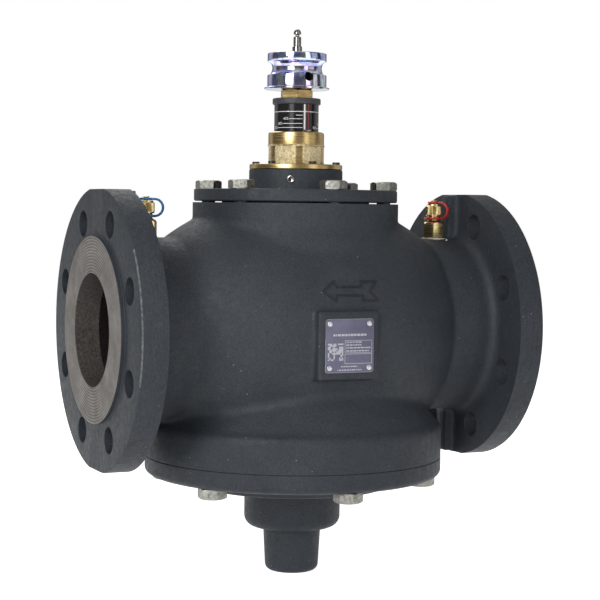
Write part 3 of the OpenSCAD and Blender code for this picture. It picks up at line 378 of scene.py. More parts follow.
# %% [markdown]
# The casting's paint is matt and dark blue-grey. It shows the sand of the mould as a fine
# grain, with a few pale specks and a little dust.

# %% Paint on cast iron


def cast_paint(name, tone=1.0, streaks=False):
    f = Finish(name, specular=0.3)
    large = f.ramp(f.noise(38, 3), [(0.32, (0.0235 * tone, 0.0282 * tone, 0.0345 * tone)),
                                    (0.68, (0.0315 * tone, 0.0368 * tone, 0.0438 * tone))])
    fine = f.ramp(f.noise(1.1, 6, 0.65), [(0.25, (0.45, 0.46, 0.48)), (0.75, (1.5, 1.5, 1.48))])
    base = f.mix(1.0, large, fine, "MULTIPLY")
    if streaks:
        brush = f.noise(1.6, 3, 0.6, f.moved((0, 0, 0), (1, 1, 0.05)))
        base = f.mix(1.0, base, f.ramp(brush, [(0.35, (0.84, 0.84, 0.85)), (0.65, (1.14, 1.14, 1.13))]), "MULTIPLY")
    speck = f.tree.nodes.new("ShaderNodeTexVoronoi")
    speck.inputs["Scale"].default_value = 1 / (7 * MM)
    speck.inputs["Randomness"].default_value = 1.0
    f.link(f.place, speck.inputs["Vector"])
    dots = f.spread(speck.outputs["Distance"], 0.6, 0.0, 0.035, 0.075)
    rare = f.spread(f.noise(23, 2), 0.0, 1.0, 0.46, 0.6)
    f.colour(f.mix(f.product(dots, rare), base, (0.34, 0.35, 0.36)))
    f.roughness(f.spread(f.noise(4, 4), 0.5, 0.68))
    f.bump(f.noise(9, 2), 0.35)
    f.bump(f.noise(1.3, 5, 0.6), 0.2)
    return f.material


PAINT = cast_paint("cast_paint")
FLANGE_PAINT = cast_paint("flange_paint", 1.0, True)
# The arrow's paint is the body paint at half its tone: painted shade along the raised arrow line.
ARROW_SHADE_PAINT = cast_paint("arrow_painted_shade", 0.5)
# A pale grey paint for a thin line along the near part of the left flange's front chamfer.
PALE_EDGE_PAINT = simple_finish("pale_edge_paint", (0.03, 0.035, 0.042), (0.17, 0.18, 0.19), 0.0, (0.5, 0.6), 3.5, 0.05, 0.3)
print("paint ready")

# %% [markdown]
# The sealing faces are turned with fine rings and left bare, so they are pale and warm.
# The bores behind them are rough grey-brown castings without paint.

# %% Bare cast iron


def turned_face():
    f = Finish("turned_sealing_face", metallic=0.35, specular=0.4)
    groove = f.rings(2.1, (0, 0, 0), "X", 0.25)
    stain = f.ramp(f.noise(16, 5), [(0.3, (0.135, 0.118, 0.102)), (0.7, (0.27, 0.255, 0.24))])
    f.colour(f.mix(f.spread(groove, 0.0, 0.62, 0.25, 0.85), stain, (0.045, 0.04, 0.036)))
    f.roughness(f.spread(f.noise(5, 3), 0.5, 0.66))
    f.bump(groove, 0.2)
    f.bump(f.noise(0.9, 3), 0.07)
    return f.material


SEALING_FACE = turned_face()
RAW_IRON = simple_finish("raw_cast_iron", (0.03, 0.026, 0.023), (0.125, 0.112, 0.1), 0.3,
                         (0.42, 0.62), 1.7, 1.1, 0.45)
print("bare iron ready")

# %% [markdown]
# Brass, zinc and steel are metals, so their colour is the colour of their shine. Lathe
# marks are noise that is stretched round the axis: it varies along the height only.

# %% Turned metals


def lathe_metal(name, dark, light, rough, marks=0.35, mottled=6.0, depth=0.02):
    f = Finish(name, metallic=1.0)
    lines = f.noise(marks, 3, 0.6, f.moved((STEM_X, 0, 0), (0.02, 0.02, 1)))
    base = f.ramp(f.noise(mottled, 4), [(0.32, dark), (0.68, light)])
    f.colour(f.mix(0.35, base, f.ramp(lines, [(0.35, dark), (0.65, light)])))
    f.roughness(f.spread(lines, rough[0], rough[1]))
    f.bump(lines, depth)
    return f.material


BRASS = lathe_metal("turned_brass", (0.38, 0.26, 0.1), (0.62, 0.46, 0.22), (0.22, 0.38))
BRIGHT_BRASS = lathe_metal("bright_brass", (0.56, 0.42, 0.18), (0.84, 0.68, 0.34), (0.24, 0.36), 0.5, 3.0)
CAST_BRASS = simple_finish("cast_brass", (0.46, 0.35, 0.17), (1.0, 0.9, 0.62), 1.0, (0.3, 0.5), 1.3, 0.55)
ZINC = simple_finish("dull_zinc", (0.13, 0.13, 0.115), (0.36, 0.355, 0.32), 1.0, (0.28, 0.46), 2.2, 0.08)
STAINLESS = lathe_metal("turned_stainless", (0.16, 0.15, 0.14), (0.34, 0.325, 0.31), (0.12, 0.22))
SPRING_STEEL = simple_finish("spring_wire", (0.25, 0.25, 0.26), (0.42, 0.42, 0.43), 1.0, (0.3, 0.45), 2.0, 0.02)
BRONZE = simple_finish("sintered_bronze", (0.3, 0.19, 0.08), (0.48, 0.32, 0.14), 1.0, (0.4, 0.6), 1.0, 0.06)
BLACK_STEEL = simple_finish("black_steel", (0.018, 0.018, 0.02), (0.04, 0.04, 0.043), 0.6, (0.35, 0.5), 1.5, 0.03)
print("turned metals ready")

# %% [markdown]
# The actuator ring is zinc with a bright bluish film, whose tint drifts from teal through
# blue to violet round the ring. The tint is a soft noise on the metal itself.

# %% Blue zinc


def blue_zinc():
    f = Finish("blue_zinc", metallic=1.0)
    drift = f.noise(13, 3, 0.6, f.moved((STEM_X, 0, 0), (1, 1, 0.55)))
    film = f.ramp(drift, [(0.32, (0.3, 0.66, 0.58)), (0.41, (0.7, 0.78, 0.76)), (0.47, (0.2, 0.3, 0.74)),
                          (0.53, (0.46, 0.34, 0.68)), (0.59, (0.72, 0.76, 0.74)), (0.66, (0.3, 0.6, 0.56)),
                          (0.75, (0.62, 0.5, 0.5))])
    lines = f.noise(0.3, 2, 0.5, f.moved((STEM_X, 0, 0), (0.02, 0.02, 1)))
    f.colour(f.mix(0.2, film, (0.7, 0.72, 0.7)))
    f.roughness(f.spread(lines, 0.07, 0.13))
    f.bump(lines, 0.008)
    return f.material


BLUE_ZINC = blue_zinc()
print("blue zinc ready")

# %% [markdown]
# Rubber, gasket board, plastics and the label plate are not metals. Each gets two close
# tones, its own gloss and a light grain.

# %% Other finishes
RUBBER = simple_finish("seal_rubber", (0.014, 0.014, 0.014), (0.026, 0.026, 0.026), 0.0, (0.45, 0.6), 2.0, 0.02)
GASKET = simple_finish("gasket_board", (0.03, 0.033, 0.036), (0.06, 0.064, 0.07), 0.0, (0.7, 0.85), 1.2, 0.06)
SCALE_BLACK = simple_finish("scale_black", (0.009, 0.009, 0.01), (0.014, 0.014, 0.016), 0.0, (0.1, 0.18), 9.0, 0.005)
CAP_DARK = simple_finish("cap_dark", (0.03, 0.031, 0.034), (0.046, 0.047, 0.05), 0.0, (0.5, 0.62), 2.0, 0.03)
PLATE = simple_finish("label_plate", (0.1, 0.1, 0.15), (0.13, 0.128, 0.19), 0.35, (0.34, 0.44), 6.0, 0.01)
RIVET = simple_finish("rivet_aluminium", (0.4, 0.4, 0.43), (0.6, 0.6, 0.62), 1.0, (0.25, 0.4), 1.0, 0.02)
BLUE_PLASTIC = simple_finish("blue_plastic", (0.012, 0.085, 0.22), (0.02, 0.14, 0.34), 0.0, (0.3, 0.42), 3.0, 0.03)
RED_PLASTIC = simple_finish("red_plastic", (0.3, 0.012, 0.014), (0.5, 0.028, 0.03), 0.0, (0.3, 0.42), 3.0, 0.03)
SEALANT = simple_finish("white_sealant", (0.5, 0.48, 0.42), (0.78, 0.76, 0.7), 0.0, (0.4, 0.6), 1.5, 0.12)
PRINT = simple_finish("pale_print", (0.62, 0.62, 0.6), (0.78, 0.78, 0.76), 0.0, (0.4, 0.5), 1.0, 0.005)
LABEL_PRINT = simple_finish("label_print", (0.36, 0.36, 0.4), (0.5, 0.5, 0.54), 0.0, (0.4, 0.5), 1.0, 0.005)
RED_PRINT = simple_finish("red_print", (0.2, 0.016, 0.013), (0.3, 0.026, 0.02), 0.0, (0.35, 0.45), 1.0, 0.005)

SLOT_FINISH = {
    "painted_iron": PAINT, "zinc_steel": ZINC, "brass": BRASS, "bronze": BRONZE,
    "blue_zinc": BLUE_ZINC, "black_steel": BLACK_STEEL, "scale_black": SCALE_BLACK,
    "cap_dark": CAP_DARK, "stainless": STAINLESS, "spring_steel": SPRING_STEEL,
    "rubber": RUBBER, "gasket": GASKET, "label": PLATE, "rivet": RIVET,
    "blue_plastic": BLUE_PLASTIC, "red_plastic": RED_PLASTIC, "white_seal": SEALANT,
}
print("finishes:", len(SLOT_FINISH))


def paint_piece(piece, *finishes):
    """Gives a piece its finishes, the first one on every face."""
    piece.data.materials.clear()
    for finish in finishes:
        piece.data.materials.append(finish)
    for face in piece.data.polygons:
        face.material_index = 0


def finish_where(piece, index, test):
    """Gives the finish of that index to each face whose middle and normal pass a test."""
    for face in piece.data.polygons:
        if test(face.center / MM, face.normal):
            face.material_index = index


def place_piece(piece, body, slot, *nodes):
    """Rides a piece on its body and lets it stand for CAD nodes. Its slot is not used."""
    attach(piece, body)
    if nodes:
        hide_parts(*nodes)
    print(f"{piece.name}: {triangles(piece)} triangles")


# %% [markdown]
# ## The casting
# The real body is cast in sand, softened by its paint, and then machined. The model goes
# the same way. First rough solids are joined: barrel, tubes, flanges, neck, skirt, ribs
# and pad. A voxel remesh makes them one skin, and smoothing gives every inner corner its
# fillet. After that, crisp tools turn the flanges and drill the holes.

# %% Cast the rough body
deselect()
end = barrel_end(TUBE_RADIUS)
half = [(barrel_radius(end * i / 14), end * i / 14) for i in range(15)]
half += [(TUBE_RADIUS, 124.0)] + arc_points(TUBE_RADIUS + 7, FLANGE_BACK - 7, 7, 180, 90)
half += [(FLANGE_RADIUS + 1.6, FLANGE_BACK), (FLANGE_RADIUS + 1.6, 156.6)]
whole = [(r, -h) for r, h in reversed(half[1:])] + half
casting = turned("cast_body", whole, along="X", sides=128, closed=False)
neck = turned("neck", [(NECK_RADIUS, 0.0), (NECK_RADIUS, NECK_TOP + 3)], sides=128, closed=False)
foot = turned("neck_foot", [(NECK_RADIUS + 5.5, 0.0), (NECK_RADIUS + 4.0, 64.0), (NECK_RADIUS + 0.3, 72.0),
                            (NECK_RADIUS - 4, 72.2)], sides=128, closed=False)
shoulder = arc_points(SKIRT_RADIUS - 6, SKIRT_SHOULDER, 6, 0, 70)
skirt = turned("skirt", [(SKIRT_RADIUS, SEAM - 3), *shoulder, (BARREL_RADIUS * 0.9, -BARREL_RADIUS * 0.44),
                         (40.0, -BARREL_RADIUS * 0.44)], sides=160, closed=False)
pad = block("pad", (LABEL_X - 23.0, LABEL_FRONT, LABEL_Z - 23.5), (LABEL_X + 23.0, -80.0, LABEL_Z + 23.5))
ribs = []
for side in (-1, 1):
    for up in (-1, 1):
        x = sorted((STEM_X + side * (FLANGE_BACK - 8.4), STEM_X + side * (FLANGE_BACK + 3)))
        z = sorted((up * 60.0, up * 97.6))
        ribs.append(block("rib", (x[0], -6.0, z[0]), (x[1], 6.0, z[1])))
for part in [neck, foot, skirt, pad, *ribs]:
    combine(casting, part, "UNION")
print("rough casting:", triangles(casting))

# %% Remesh and soften the skin
only(casting)
skin = casting.modifiers.new("skin", "REMESH")
skin.mode = "VOXEL"
skin.voxel_size = 1.5 * MM
bpy.ops.object.modifier_apply(modifier=skin.name)
corner = casting.vertex_groups.new(name="corners")
for vertex in casting.data.vertices:
    x, y, z = (vertex.co - Vector((STEM_X * MM, 0, 0))) / MM
    reach = math.hypot(x, y)
    near_neck = max(0.0, 1 - abs(reach - NECK_RADIUS - 1) / 10) * (1 if 50 < z < 76 else 0)
    on_barrel = math.hypot(y, z) - barrel_radius(min(abs(x), 120))
    near_skirt = max(0.0, 1 - abs(on_barrel - 2) / 8) if -84 < z < -40 and abs(x) < 112 else 0
    weight = max(near_neck, near_skirt)
    if weight > 0:
        corner.add([vertex.index], min(1.0, weight * 1.6), "REPLACE")
for label, repeats, group in (("soften", 5, ""), ("fillet", 45, "corners")):
    step = casting.modifiers.new(label, "SMOOTH")
    step.factor = 0.5
    step.iterations = repeats
    step.vertex_group = group
    bpy.ops.object.modifier_apply(modifier=step.name)
thin = casting.modifiers.new("thin", "DECIMATE")
thin.ratio = 0.42
bpy.ops.object.modifier_apply(modifier=thin.name)
print("softened casting:", triangles(casting))

# %% [markdown]
# The lathe turns both flanges: rim, front and raised face come out crisp, with a small
# chamfer at every edge. A mill then cuts the flats, the neck's top and the seam.

# %% Turn the flanges and mill the flat places
face_end = PIPE_LENGTH / 2
envelope_half = [(180.0, 0.0), (180.0, 118.0), (FLANGE_RADIUS, 120.0), (FLANGE_RADIUS, FLANGE_FRONT - 0.9),
                 (FLANGE_RADIUS - 0.3, FLANGE_FRONT - 0.3), (FLANGE_RADIUS - 0.9, FLANGE_FRONT),
                 (FACE_RADIUS + 0.4, FLANGE_FRONT), (FACE_RADIUS, FLANGE_FRONT + 0.4),
                 (FACE_RADIUS, face_end - 0.4), (FACE_RADIUS - 0.4, face_end)]
envelope = turned("envelope", [(r, -h) for r, h in reversed(envelope_half[1:])] + envelope_half,
                  along="X", sides=160, closed=False)
combine(casting, envelope, "INTERSECT")
combine(casting, rod("above", NECK_RADIUS + 6, (STEM_X, 0, NECK_TOP), (STEM_X, 0, 130), 96))
combine(casting, rod("below", SKIRT_RADIUS + 3, (STEM_X, 0, -140), (STEM_X, 0, SEAM), 96))
for side in (-1, 1):
    for up in (-1, 1):
        x = sorted((STEM_X + side * 131.0, STEM_X + side * 170.0))
        z = sorted((up * RIM_FLAT, up * 120.0))
        combine(casting, block("flat", (x[0], -60, z[0]), (x[1], 60, z[1])))
print("turned casting:", triangles(casting))

# %% [markdown]
# The water's way is cast with a core. The core is modelled as a solid of its own: the
# inside of the barrel, less the central tube and its partition, and it is then taken away
# from the body in one cut.

# %% Core out the inside
WALL = 10.0
core_end = barrel_end(TUBE_RADIUS - 1)
core_half = [(barrel_radius(core_end * i / 10, -WALL), core_end * i / 10) for i in range(11)]
core_half += [(TUBE_RADIUS - WALL - 1, 121.0), (PORT_RADIUS, 137.0), (PORT_RADIUS, 160.0)]
core = turned("core", [(r, -h) for r, h in reversed(core_half[1:])] + core_half, along="X", sides=96, closed=False)
for keep in (rod("neck_root", NECK_RADIUS, (STEM_X, 0, 62.2), (STEM_X, 0, 120), 96),
             rod("skirt_root", SKIRT_RADIUS, (STEM_X, 0, -150), (STEM_X, 0, -62), 96),
             block("wall", (STEM_X - 5, -97, -97), (STEM_X + 5, 97, 97)),
             rod("tube", 60.0, (STEM_X, 0, -99), (STEM_X, 0, 99), 96)):
    combine(core, keep)
combine(casting, core)
for hollow in (rod("upper_bore", 50.0, (STEM_X, 0, 5), (STEM_X, 0, 95), 96),
               rod("lower_bore", 50.0, (STEM_X, 0, -73), (STEM_X, 0, -5), 96),
               rod("web_bore", 38.2, (STEM_X, 0, -8), (STEM_X, 0, 8), 96),
               rod("chamber", 66.0, (STEM_X, 0, -110), (STEM_X, 0, -72), 96),
               block("upper_window", (STEM_X - 62, -42, 11), (STEM_X - 40, 42, 62.2)),
               block("lower_window", (STEM_X + 40, -42, -62), (STEM_X + 62, 42, -5))):
    combine(casting, hollow)
print("cored casting:", triangles(casting))

# %% Drill the flanges, the plug seats and the screw holes
HOLE_RADIUS = 9.5
HOLE_CIRCLE = 80.0
drills = []
for side in (-1, 1):
    for i in range(8):
        t = math.radians(22.5 + 45 * i)
        y, z = HOLE_CIRCLE * math.cos(t), HOLE_CIRCLE * math.sin(t)
        x = STEM_X + side * FLANGE_BACK
        drills.append(rod("drill", HOLE_RADIUS, (x - side * 3, y, z), (x + side * 25, y, z), 48))
    x = STEM_X + side * 115.5
    drills.append(rod("plug_drill", 5.1, (x, 0, 40), (x, 0, 66), 32))
    drills.append(rod("plug_spot", 9.5, (x, 0, 64), (x, 0, 68), 48))
for i in range(6):
    t = math.radians(30 + 60 * i)
    c, s = math.cos(t), math.sin(t)
    drills.append(rod("top_drill", 5.1, (STEM_X + 64.5 * c, 64.5 * s, 72), (STEM_X + 64.5 * c, 64.5 * s, 92), 24))
    drills.append(rod("seam_drill", 6.1, (STEM_X + 94.5 * c, 94.5 * s, -95), (STEM_X + 94.5 * c, 94.5 * s, -75), 24))
combine(casting, joined("drills", drills))
print("drilled casting:", triangles(casting))

# %% [markdown]
# The flow arrow is cast with the body. Its raised line is made of straight bars, cut to
# the barrel's own curve, so it stands out evenly. Its paint is darker: painted shade.

# %% Flow arrow
ARROW_TIP, ARROW_LENGTH, ARROW_HEAD, ARROW_Z, LINE_WIDTH = STEM_X - 19.3, 41.4, 14.0, 30.5, 1.3
corners = [(0, 0), (0.21, 0.5), (0.23, 0.21), (0.71, 0.21), (0.71, 0.47), (1, 0.47),
           (0.85, 0), (1, -0.47), (0.71, -0.47), (0.71, -0.21), (0.23, -0.21), (0.21, -0.5)]
corners = [(ARROW_TIP + u * ARROW_LENGTH, ARROW_Z + v * ARROW_HEAD) for u, v in corners]
arrow = None
for (ax, az), (bx, bz) in zip(corners, corners[1:] + corners[:1]):
    bar = block("arrow_bar", (0, -110, -LINE_WIDTH / 2), (math.hypot(bx - ax, bz - az), -70, LINE_WIDTH / 2))
    turn = Matrix.Rotation(-math.atan2(bz - az, bx - ax), 4, "Y")
    bar.data.transform(Matrix.Translation(Vector((ax, 0, az)) * MM) @ turn)
    for piece in (bar, rod("arrow_corner", LINE_WIDTH / 2, (ax, -110, az), (ax, -70, az), 16)):
        if arrow is None:
            arrow = piece
        else:
            combine(arrow, piece, "UNION")
for grow, operation in ((0.75, "INTERSECT"), (-1.5, "DIFFERENCE")):
    skin_half = [(barrel_radius(60 * i / 12, grow), 60 * i / 12) for i in range(13)]
    skin = turned("arrow_skin", [(r, -h) for r, h in reversed(skin_half[1:])] + skin_half, along="X", sides=256,
                  closed=False)
    combine(arrow, skin, operation)
round_edges(arrow, 0.22, 2, 40)
print("flow arrow:", triangles(arrow))
casting = joined("cast_body", [casting, arrow])

# %% Finish the casting
paint_piece(casting, PAINT, SEALING_FACE, RAW_IRON, FLANGE_PAINT, ARROW_SHADE_PAINT, PALE_EDGE_PAINT)


def in_the_bore(c, n):
    reach = math.hypot(c.y, c.z)
    along = abs(c.x - STEM_X)
    inside = reach < barrel_radius(min(along, 125.0), -3.0) - 1 and along < 121
    in_port = reach < PORT_RADIUS + 0.5 and along > 120
    in_flare = reach < 56 and 120 <= along < 138
    return inside and -62 < c.z < 62.5 or in_port or in_flare


def on_a_flange(c, n):
    along = abs(c.x - STEM_X)
    return along > 132 and math.hypot(c.y, c.z) > 66.5 and (abs(n.x) > 0.9 and along > 150 or abs(n.x) < 0.3)


def on_the_arrow(c, n):
    along, up = c.x - ARROW_TIP, c.z - ARROW_Z
    near = -2 < along < ARROW_LENGTH + 2 and abs(up) < ARROW_HEAD / 2 + 2
    return c.y < 0 and near and math.hypot(c.y, c.z) > barrel_radius(abs(c.x - STEM_X)) + 0.12


# The faces of the left flange's front chamfer on its near side, between two heights, which get the pale edge paint.
def on_the_pale_edge(c, n):
    reach = math.hypot(c.y, c.z)
    chamfer = 3.0 < c.x < 3.9 and reach > FLANGE_RADIUS - 0.9 and n.x < -0.2
    return chamfer and c.y < 0 and -30 < c.z < 58


finish_where(casting, 2, in_the_bore)
finish_where(casting, 3, on_a_flange)
# The raised arrow line takes the darker paint, as painted shade.
finish_where(casting, 4, on_the_arrow)
# A pale line of paint on the near part of the left flange's front chamfer.
finish_where(casting, 5, on_the_pale_edge)
finish_where(casting, 1, lambda c, n: abs(n.x) > 0.9 and (c.x < 0.5 or c.x > PIPE_LENGTH - 0.5))
smooth(casting, 30)
place_piece(casting, "root", "painted_iron", "body_casting", "outlet_flange", "inlet_flange", "chamber_ring")

# %% [markdown]
# ## The covers
# Both covers are turned rings of the same painted iron. The top cover carries a collar,
# and the bottom cover reaches down into a boss and a stub for the regulator's spindle.

# %% Top cover
COVER_LOW, COVER_TOP, COLLAR_TOP = 91.2, 100.0, 114.6
lid = turned("top_cover_lid", [
    (8.0, 72.2), (14.0, 72.2), (14.0, 91.0), (40.0, 91.0), (40.0, 79.2), (49.7, 79.2), (49.7, COVER_LOW),
    (73.6, COVER_LOW), (74.4, 92.0), (74.4, 99.0), (74.1, 99.7), (73.4, COVER_TOP), (36.2, COVER_TOP),
    (34.9, 100.4), (34.2, 101.8), (34.2, 113.8), (33.9, 114.4), (33.2, COLLAR_TOP), (22.2, COLLAR_TOP),
    (22.2, 111.6), (20.2, 111.6), (20.2, 103.5), (9.5, 103.5), (9.5, 92.0), (8.0, 92.0)], sides=128)
lid_drills = [rod("lid_drill", 5.5, (STEM_X + 64.5 * math.cos(math.radians(a)), 64.5 * math.sin(math.radians(a)), 88),
                  (STEM_X + 64.5 * math.cos(math.radians(a)), 64.5 * math.sin(math.radians(a)), 104), 24)
              for a in range(30, 390, 60)]
combine(lid, joined("lid_drills", lid_drills))
SET_SCREW_ANGLE = math.radians(-120)
SET_SCREW_Z = 107.3


def along_set_screw(reach):
    return (STEM_X + reach * math.cos(SET_SCREW_ANGLE), reach * math.sin(SET_SCREW_ANGLE), SET_SCREW_Z)


combine(lid, rod("set_screw_bore", 2.9, along_set_screw(19), along_set_screw(36), 24))
paint_piece(lid, PAINT)
smooth(lid)
place_piece(lid, "root", "painted_iron", "top_cover")

# %% Bottom cover
base = turned("bottom_cover_cast", [
    (8.4, -172.0), (8.4, -147.8), (11.0, -147.8), (11.0, -138.0), (27.0, -138.0), (27.0, -108.0),
    (64.0, -108.0), (64.0, -95.5), (80.0, -95.5), (80.0, SEAM), (108.3, SEAM), (SKIRT_RADIUS, -94.2),
    *[(101.4 + 7.6 * math.sin(math.radians(t)), -103.0 - 5.0 * math.cos(math.radians(t))) for t in range(90, -1, -15)],
    (79.4, -108.0), (78.0, -108.3), (72.8, -115.4), (71.2, -116.0), (38.0, -116.0), (35.9, -116.8), (35.4, -118.4),
    *arc_points(27.4, -139.5, 8, 0, -90), (22.6, -147.5), (21.5, -148.0), (21.15, -149.2),
    *arc_points(14.7, -175.5, 5, 0, -90), (0.4, -180.5), (0.4, -172.0)], sides=160)
base_drills = [rod("base_drill", 6.5,
                   (STEM_X + 94.5 * math.cos(math.radians(a)), 94.5 * math.sin(math.radians(a)), -92),
                   (STEM_X + 94.5 * math.cos(math.radians(a)), 94.5 * math.sin(math.radians(a)), -112), 24)
               for a in range(30, 390, 60)]
combine(base, joined("base_drills", base_drills))
paint_piece(base, PAINT)
smooth(base)
place_piece(base, "root", "painted_iron", "bottom_cover")

# %% [markdown]
# ## Screws
# One hexagon screw is made for each cover: a six-sided bar whose corners a turned tool
# takes off at both ends, on a round shank. It is then copied round the cover.

# %% Hexagon screws


def hexagon_head(name, flats, low, high, chamfer=1.2, turn=0.0):
    """A hexagon head whose corners are turned off at the top and eased at the foot."""
    deselect()
    corner_radius = flats / math.sqrt(3)
    bpy.ops.mesh.primitive_cylinder_add(vertices=6, radius=corner_radius * MM, depth=abs(high - low) * MM)
    head = bpy.context.object
    head.name = name
    middle = Matrix.Translation((STEM_X * MM, 0, (low + high) / 2 * MM))
    head.data.transform(middle @ Matrix.Rotation(math.radians(30 + turn), 4, "Z"))
    sign = 1 if high > low else -1
    tool = turned("corner_tool", [(flats / 2 * 1.04, low), (corner_radius * 1.02, low + sign * chamfer * 0.5),
                                  (corner_radius * 1.02, high - sign * chamfer),
                                  (flats / 2 * 0.93, high)], sides=48, closed=False)
    combine(head, tool, "INTERSECT", "EXACT")
    round_edges(head, 0.25, 1, 20)
    return head


def screw_ring(name, flats, head_low, head_high, shank_radius, shank_end, circle, finish):
    head = hexagon_head(name, flats, head_low, head_high)
    crown = 0.55 if head_high > head_low else -0.55
    washer = turned("washer_face", [(flats / 2 * 0.9, head_high - crown), (flats / 2 * 0.72, head_high + crown * 0.02),
                                    (flats / 2 * 0.6, head_high + crown * 0.02)], sides=32, closed=False)
    shank = rod("shank", shank_radius, (STEM_X, 0, head_low + crown), (STEM_X, 0, shank_end), 24)
    screw = joined(name, [head, washer, shank])
    screw.data.transform(Matrix.Translation((circle * MM, 0, 0)))
    ring = ring_copies(screw, 6, 30, name)
    paint_piece(ring, finish)
    smooth(ring, 25)
    return ring


top_screws = screw_ring("top_screws", 17.0, COVER_TOP, 106.4, 5.0, 72.2, 64.5, ZINC)
place_piece(top_screws, "root", "zinc_steel", "top_cover_screws")
bottom_screws = screw_ring("bottom_screws", 18.0, -108.0, -115.5, 6.0, -75.5, 94.5, ZINC)
place_piece(bottom_screws, "root", "zinc_steel", "bottom_cover_screws")

# %% [markdown]
# ## The brass bonnet and its clamp plate
# A thin brass plate holds the bonnet down with six black socket screws. The bonnet's
# hexagon keeps the rough skin of its casting on the flats, and all else is turned.

# %% Clamp plate and its screws
PLATE_TOP = 118.4
plate = turned("clamp_plate_ring", [(20.2, COLLAR_TOP), (33.5, COLLAR_TOP), (34.0, 115.1), (34.0, 117.8), (33.8, 118.2),
                                    (33.4, PLATE_TOP), (20.2, PLATE_TOP)], sides=128)
sinks = [rod("sink", 2.95, (STEM_X + 29.5 * math.cos(math.radians(a)), 29.5 * math.sin(math.radians(a)), 117.4),
             (STEM_X + 29.5 * math.cos(math.radians(a)), 29.5 * math.sin(math.radians(a)), 120), 24)
         for a in range(30, 390, 60)]
combine(plate, joined("sinks", sinks))
paint_piece(plate, BRASS)
smooth(plate)
place_piece(plate, "root", "brass", "clamp_plate")

socket_head = turned("socket_head", [(0.2, 117.4), (2.75, 117.4), (2.75, 120.0), (2.6, 120.3), (2.3, 120.4), (1.45, 120.4),
                                     (1.45, 118.9), (0.2, 118.9)], sides=24)
socket_shank = rod("socket_shank", 1.5, (STEM_X, 0, 107.6), (STEM_X, 0, 117.6), 16)
socket_screw = joined("socket_screw", [socket_head, socket_shank])
socket_screw.data.transform(Matrix.Translation((29.5 * MM, 0, 0)))
socket_screws = ring_copies(socket_screw, 6, 30, "plate_screws")
paint_piece(socket_screws, BLACK_STEEL)
smooth(socket_screws)
place_piece(socket_screws, "root", "black_steel", "clamp_plate_screws")

# %% Bonnet
HEX_TOP, BONNET_TOP = 132.6, 142.0
bonnet = turned("brass_bonnet", [
    (17.0, 105.9), (20.0, 105.9), (20.0, 111.6), (22.0, 111.6), (22.0, COLLAR_TOP), (20.0, COLLAR_TOP), (20.0, PLATE_TOP),
    (20.7, PLATE_TOP), (21.1, 118.8), (21.1, 131.8), (20.9, 132.4), (20.4, 132.9), (20.4, 140.5), (20.1, 141.4),
    (19.2, BONNET_TOP), (17.5, BONNET_TOP), (17.0, 141.5)], sides=128)
flat_tools = []
for i in range(6):
    t = math.radians(12 + 30 + 60 * i)
    tool = block("flat_tool", (19.5, -13, PLATE_TOP + 0.02), (30, 13, HEX_TOP - 0.6))
    round_edges(tool, 1.6, 3, 60)
    tool.data.transform(Matrix.Translation((STEM_X * MM, 0, 0)) @ Matrix.Rotation(t, 4, "Z"))
    flat_tools.append(tool)
for tool in flat_tools:
    combine(bonnet, tool)
paint_piece(bonnet, BRASS, CAST_BRASS)


def on_a_flat(c, n):
    reach = math.hypot(c.x - STEM_X, c.y)
    return PLATE_TOP + 0.2 < c.z < HEX_TOP and abs(n.z) < 0.9 and 18.8 < reach < 21.0


finish_where(bonnet, 1, on_a_flat)
smooth(bonnet)
place_piece(bonnet, "root", "brass", "bonnet", "bonnet_spigot")

# %% Set screw in the collar
set_screw = rod("set_screw", 2.8, along_set_screw(20), along_set_screw(34.0), 24)
socket = rod("socket", 1.6, along_set_screw(31), along_set_screw(36), 6)
combine(set_screw, socket, "DIFFERENCE", "EXACT")
round_edges(set_screw, 0.35, 2, 40)
paint_piece(set_screw, STAINLESS)
smooth(set_screw)
place_piece(set_screw, "root", "zinc_steel", "collar_set_screw")

# %% [markdown]
# ## Presetting sleeve, cap, hexagon and ring
# A glossy black sleeve with a printed scale slides in the bonnet's bore. The dark cap, a
# small brass hexagon and the bright zinc ring sit on it and turn with it.

# %% Sleeve and cap ring
SLEEVE_RADIUS = 16.2
SLEEVE_TOP, CAP_TOP, HEXAGON_TOP, RING_TOP = 162.0, 166.5, 173.0, 199.2
sleeve = turned("black_scale_sleeve", [(13.2, 131.0), (SLEEVE_RADIUS - 0.3, 131.0), (SLEEVE_RADIUS, 131.3),
                                       (SLEEVE_RADIUS, SLEEVE_TOP), (13.2, SLEEVE_TOP)], sides=128)
paint_piece(sleeve, SCALE_BLACK)
smooth(sleeve)

# %% [markdown]
# The scale is printed on the sleeve: a white ring, and three times round a pair of upright
# lines with a ladder of percent marks beside it. The print is drawn flat and then laid
# round the sleeve, a hair above it.

# %% Scale marks
INK_RADIUS = SLEEVE_RADIUS + 0.03
FRONT = -114.1


def wrapped(sheet, turn, level):
    """Lays a flat sheet round the sleeve, a turn in degrees from its front."""
    for vertex in sheet.data.vertices:
        angle = math.radians(FRONT + turn) + vertex.co.x / (SLEEVE_RADIUS * MM)
        level_here = vertex.co.y + level * MM
        vertex.co = (STEM_X * MM + INK_RADIUS * MM * math.cos(angle), INK_RADIUS * MM * math.sin(angle), level_here)
    return sheet


def ink_band(start, end, low, high):
    """A printed band between two turns and two levels."""
    deselect()
    steps = max(1, round((end - start) / 4))
    bpy.ops.mesh.primitive_grid_add(x_subdivisions=steps, y_subdivisions=1, size=1)
    sheet = bpy.context.object
    width = math.radians(end - start) * SLEEVE_RADIUS * MM
    for vertex in sheet.data.vertices:
        vertex.co = ((vertex.co.x + 0.5) * width, (vertex.co.y + 0.5) * (high - low) * MM, 0)
    return wrapped(sheet, start, low)


def ink_text(words, end, low, height=1.9):
    """Printed figures that end at a turn."""
    deselect()
    bpy.ops.object.text_add()
    text = bpy.context.object
    text.data.body = words
    text.data.size = height * 1.38 * MM
    text.data.align_x = "RIGHT"
    bpy.ops.object.convert(target="MESH")
    return wrapped(bpy.context.object, end, low)


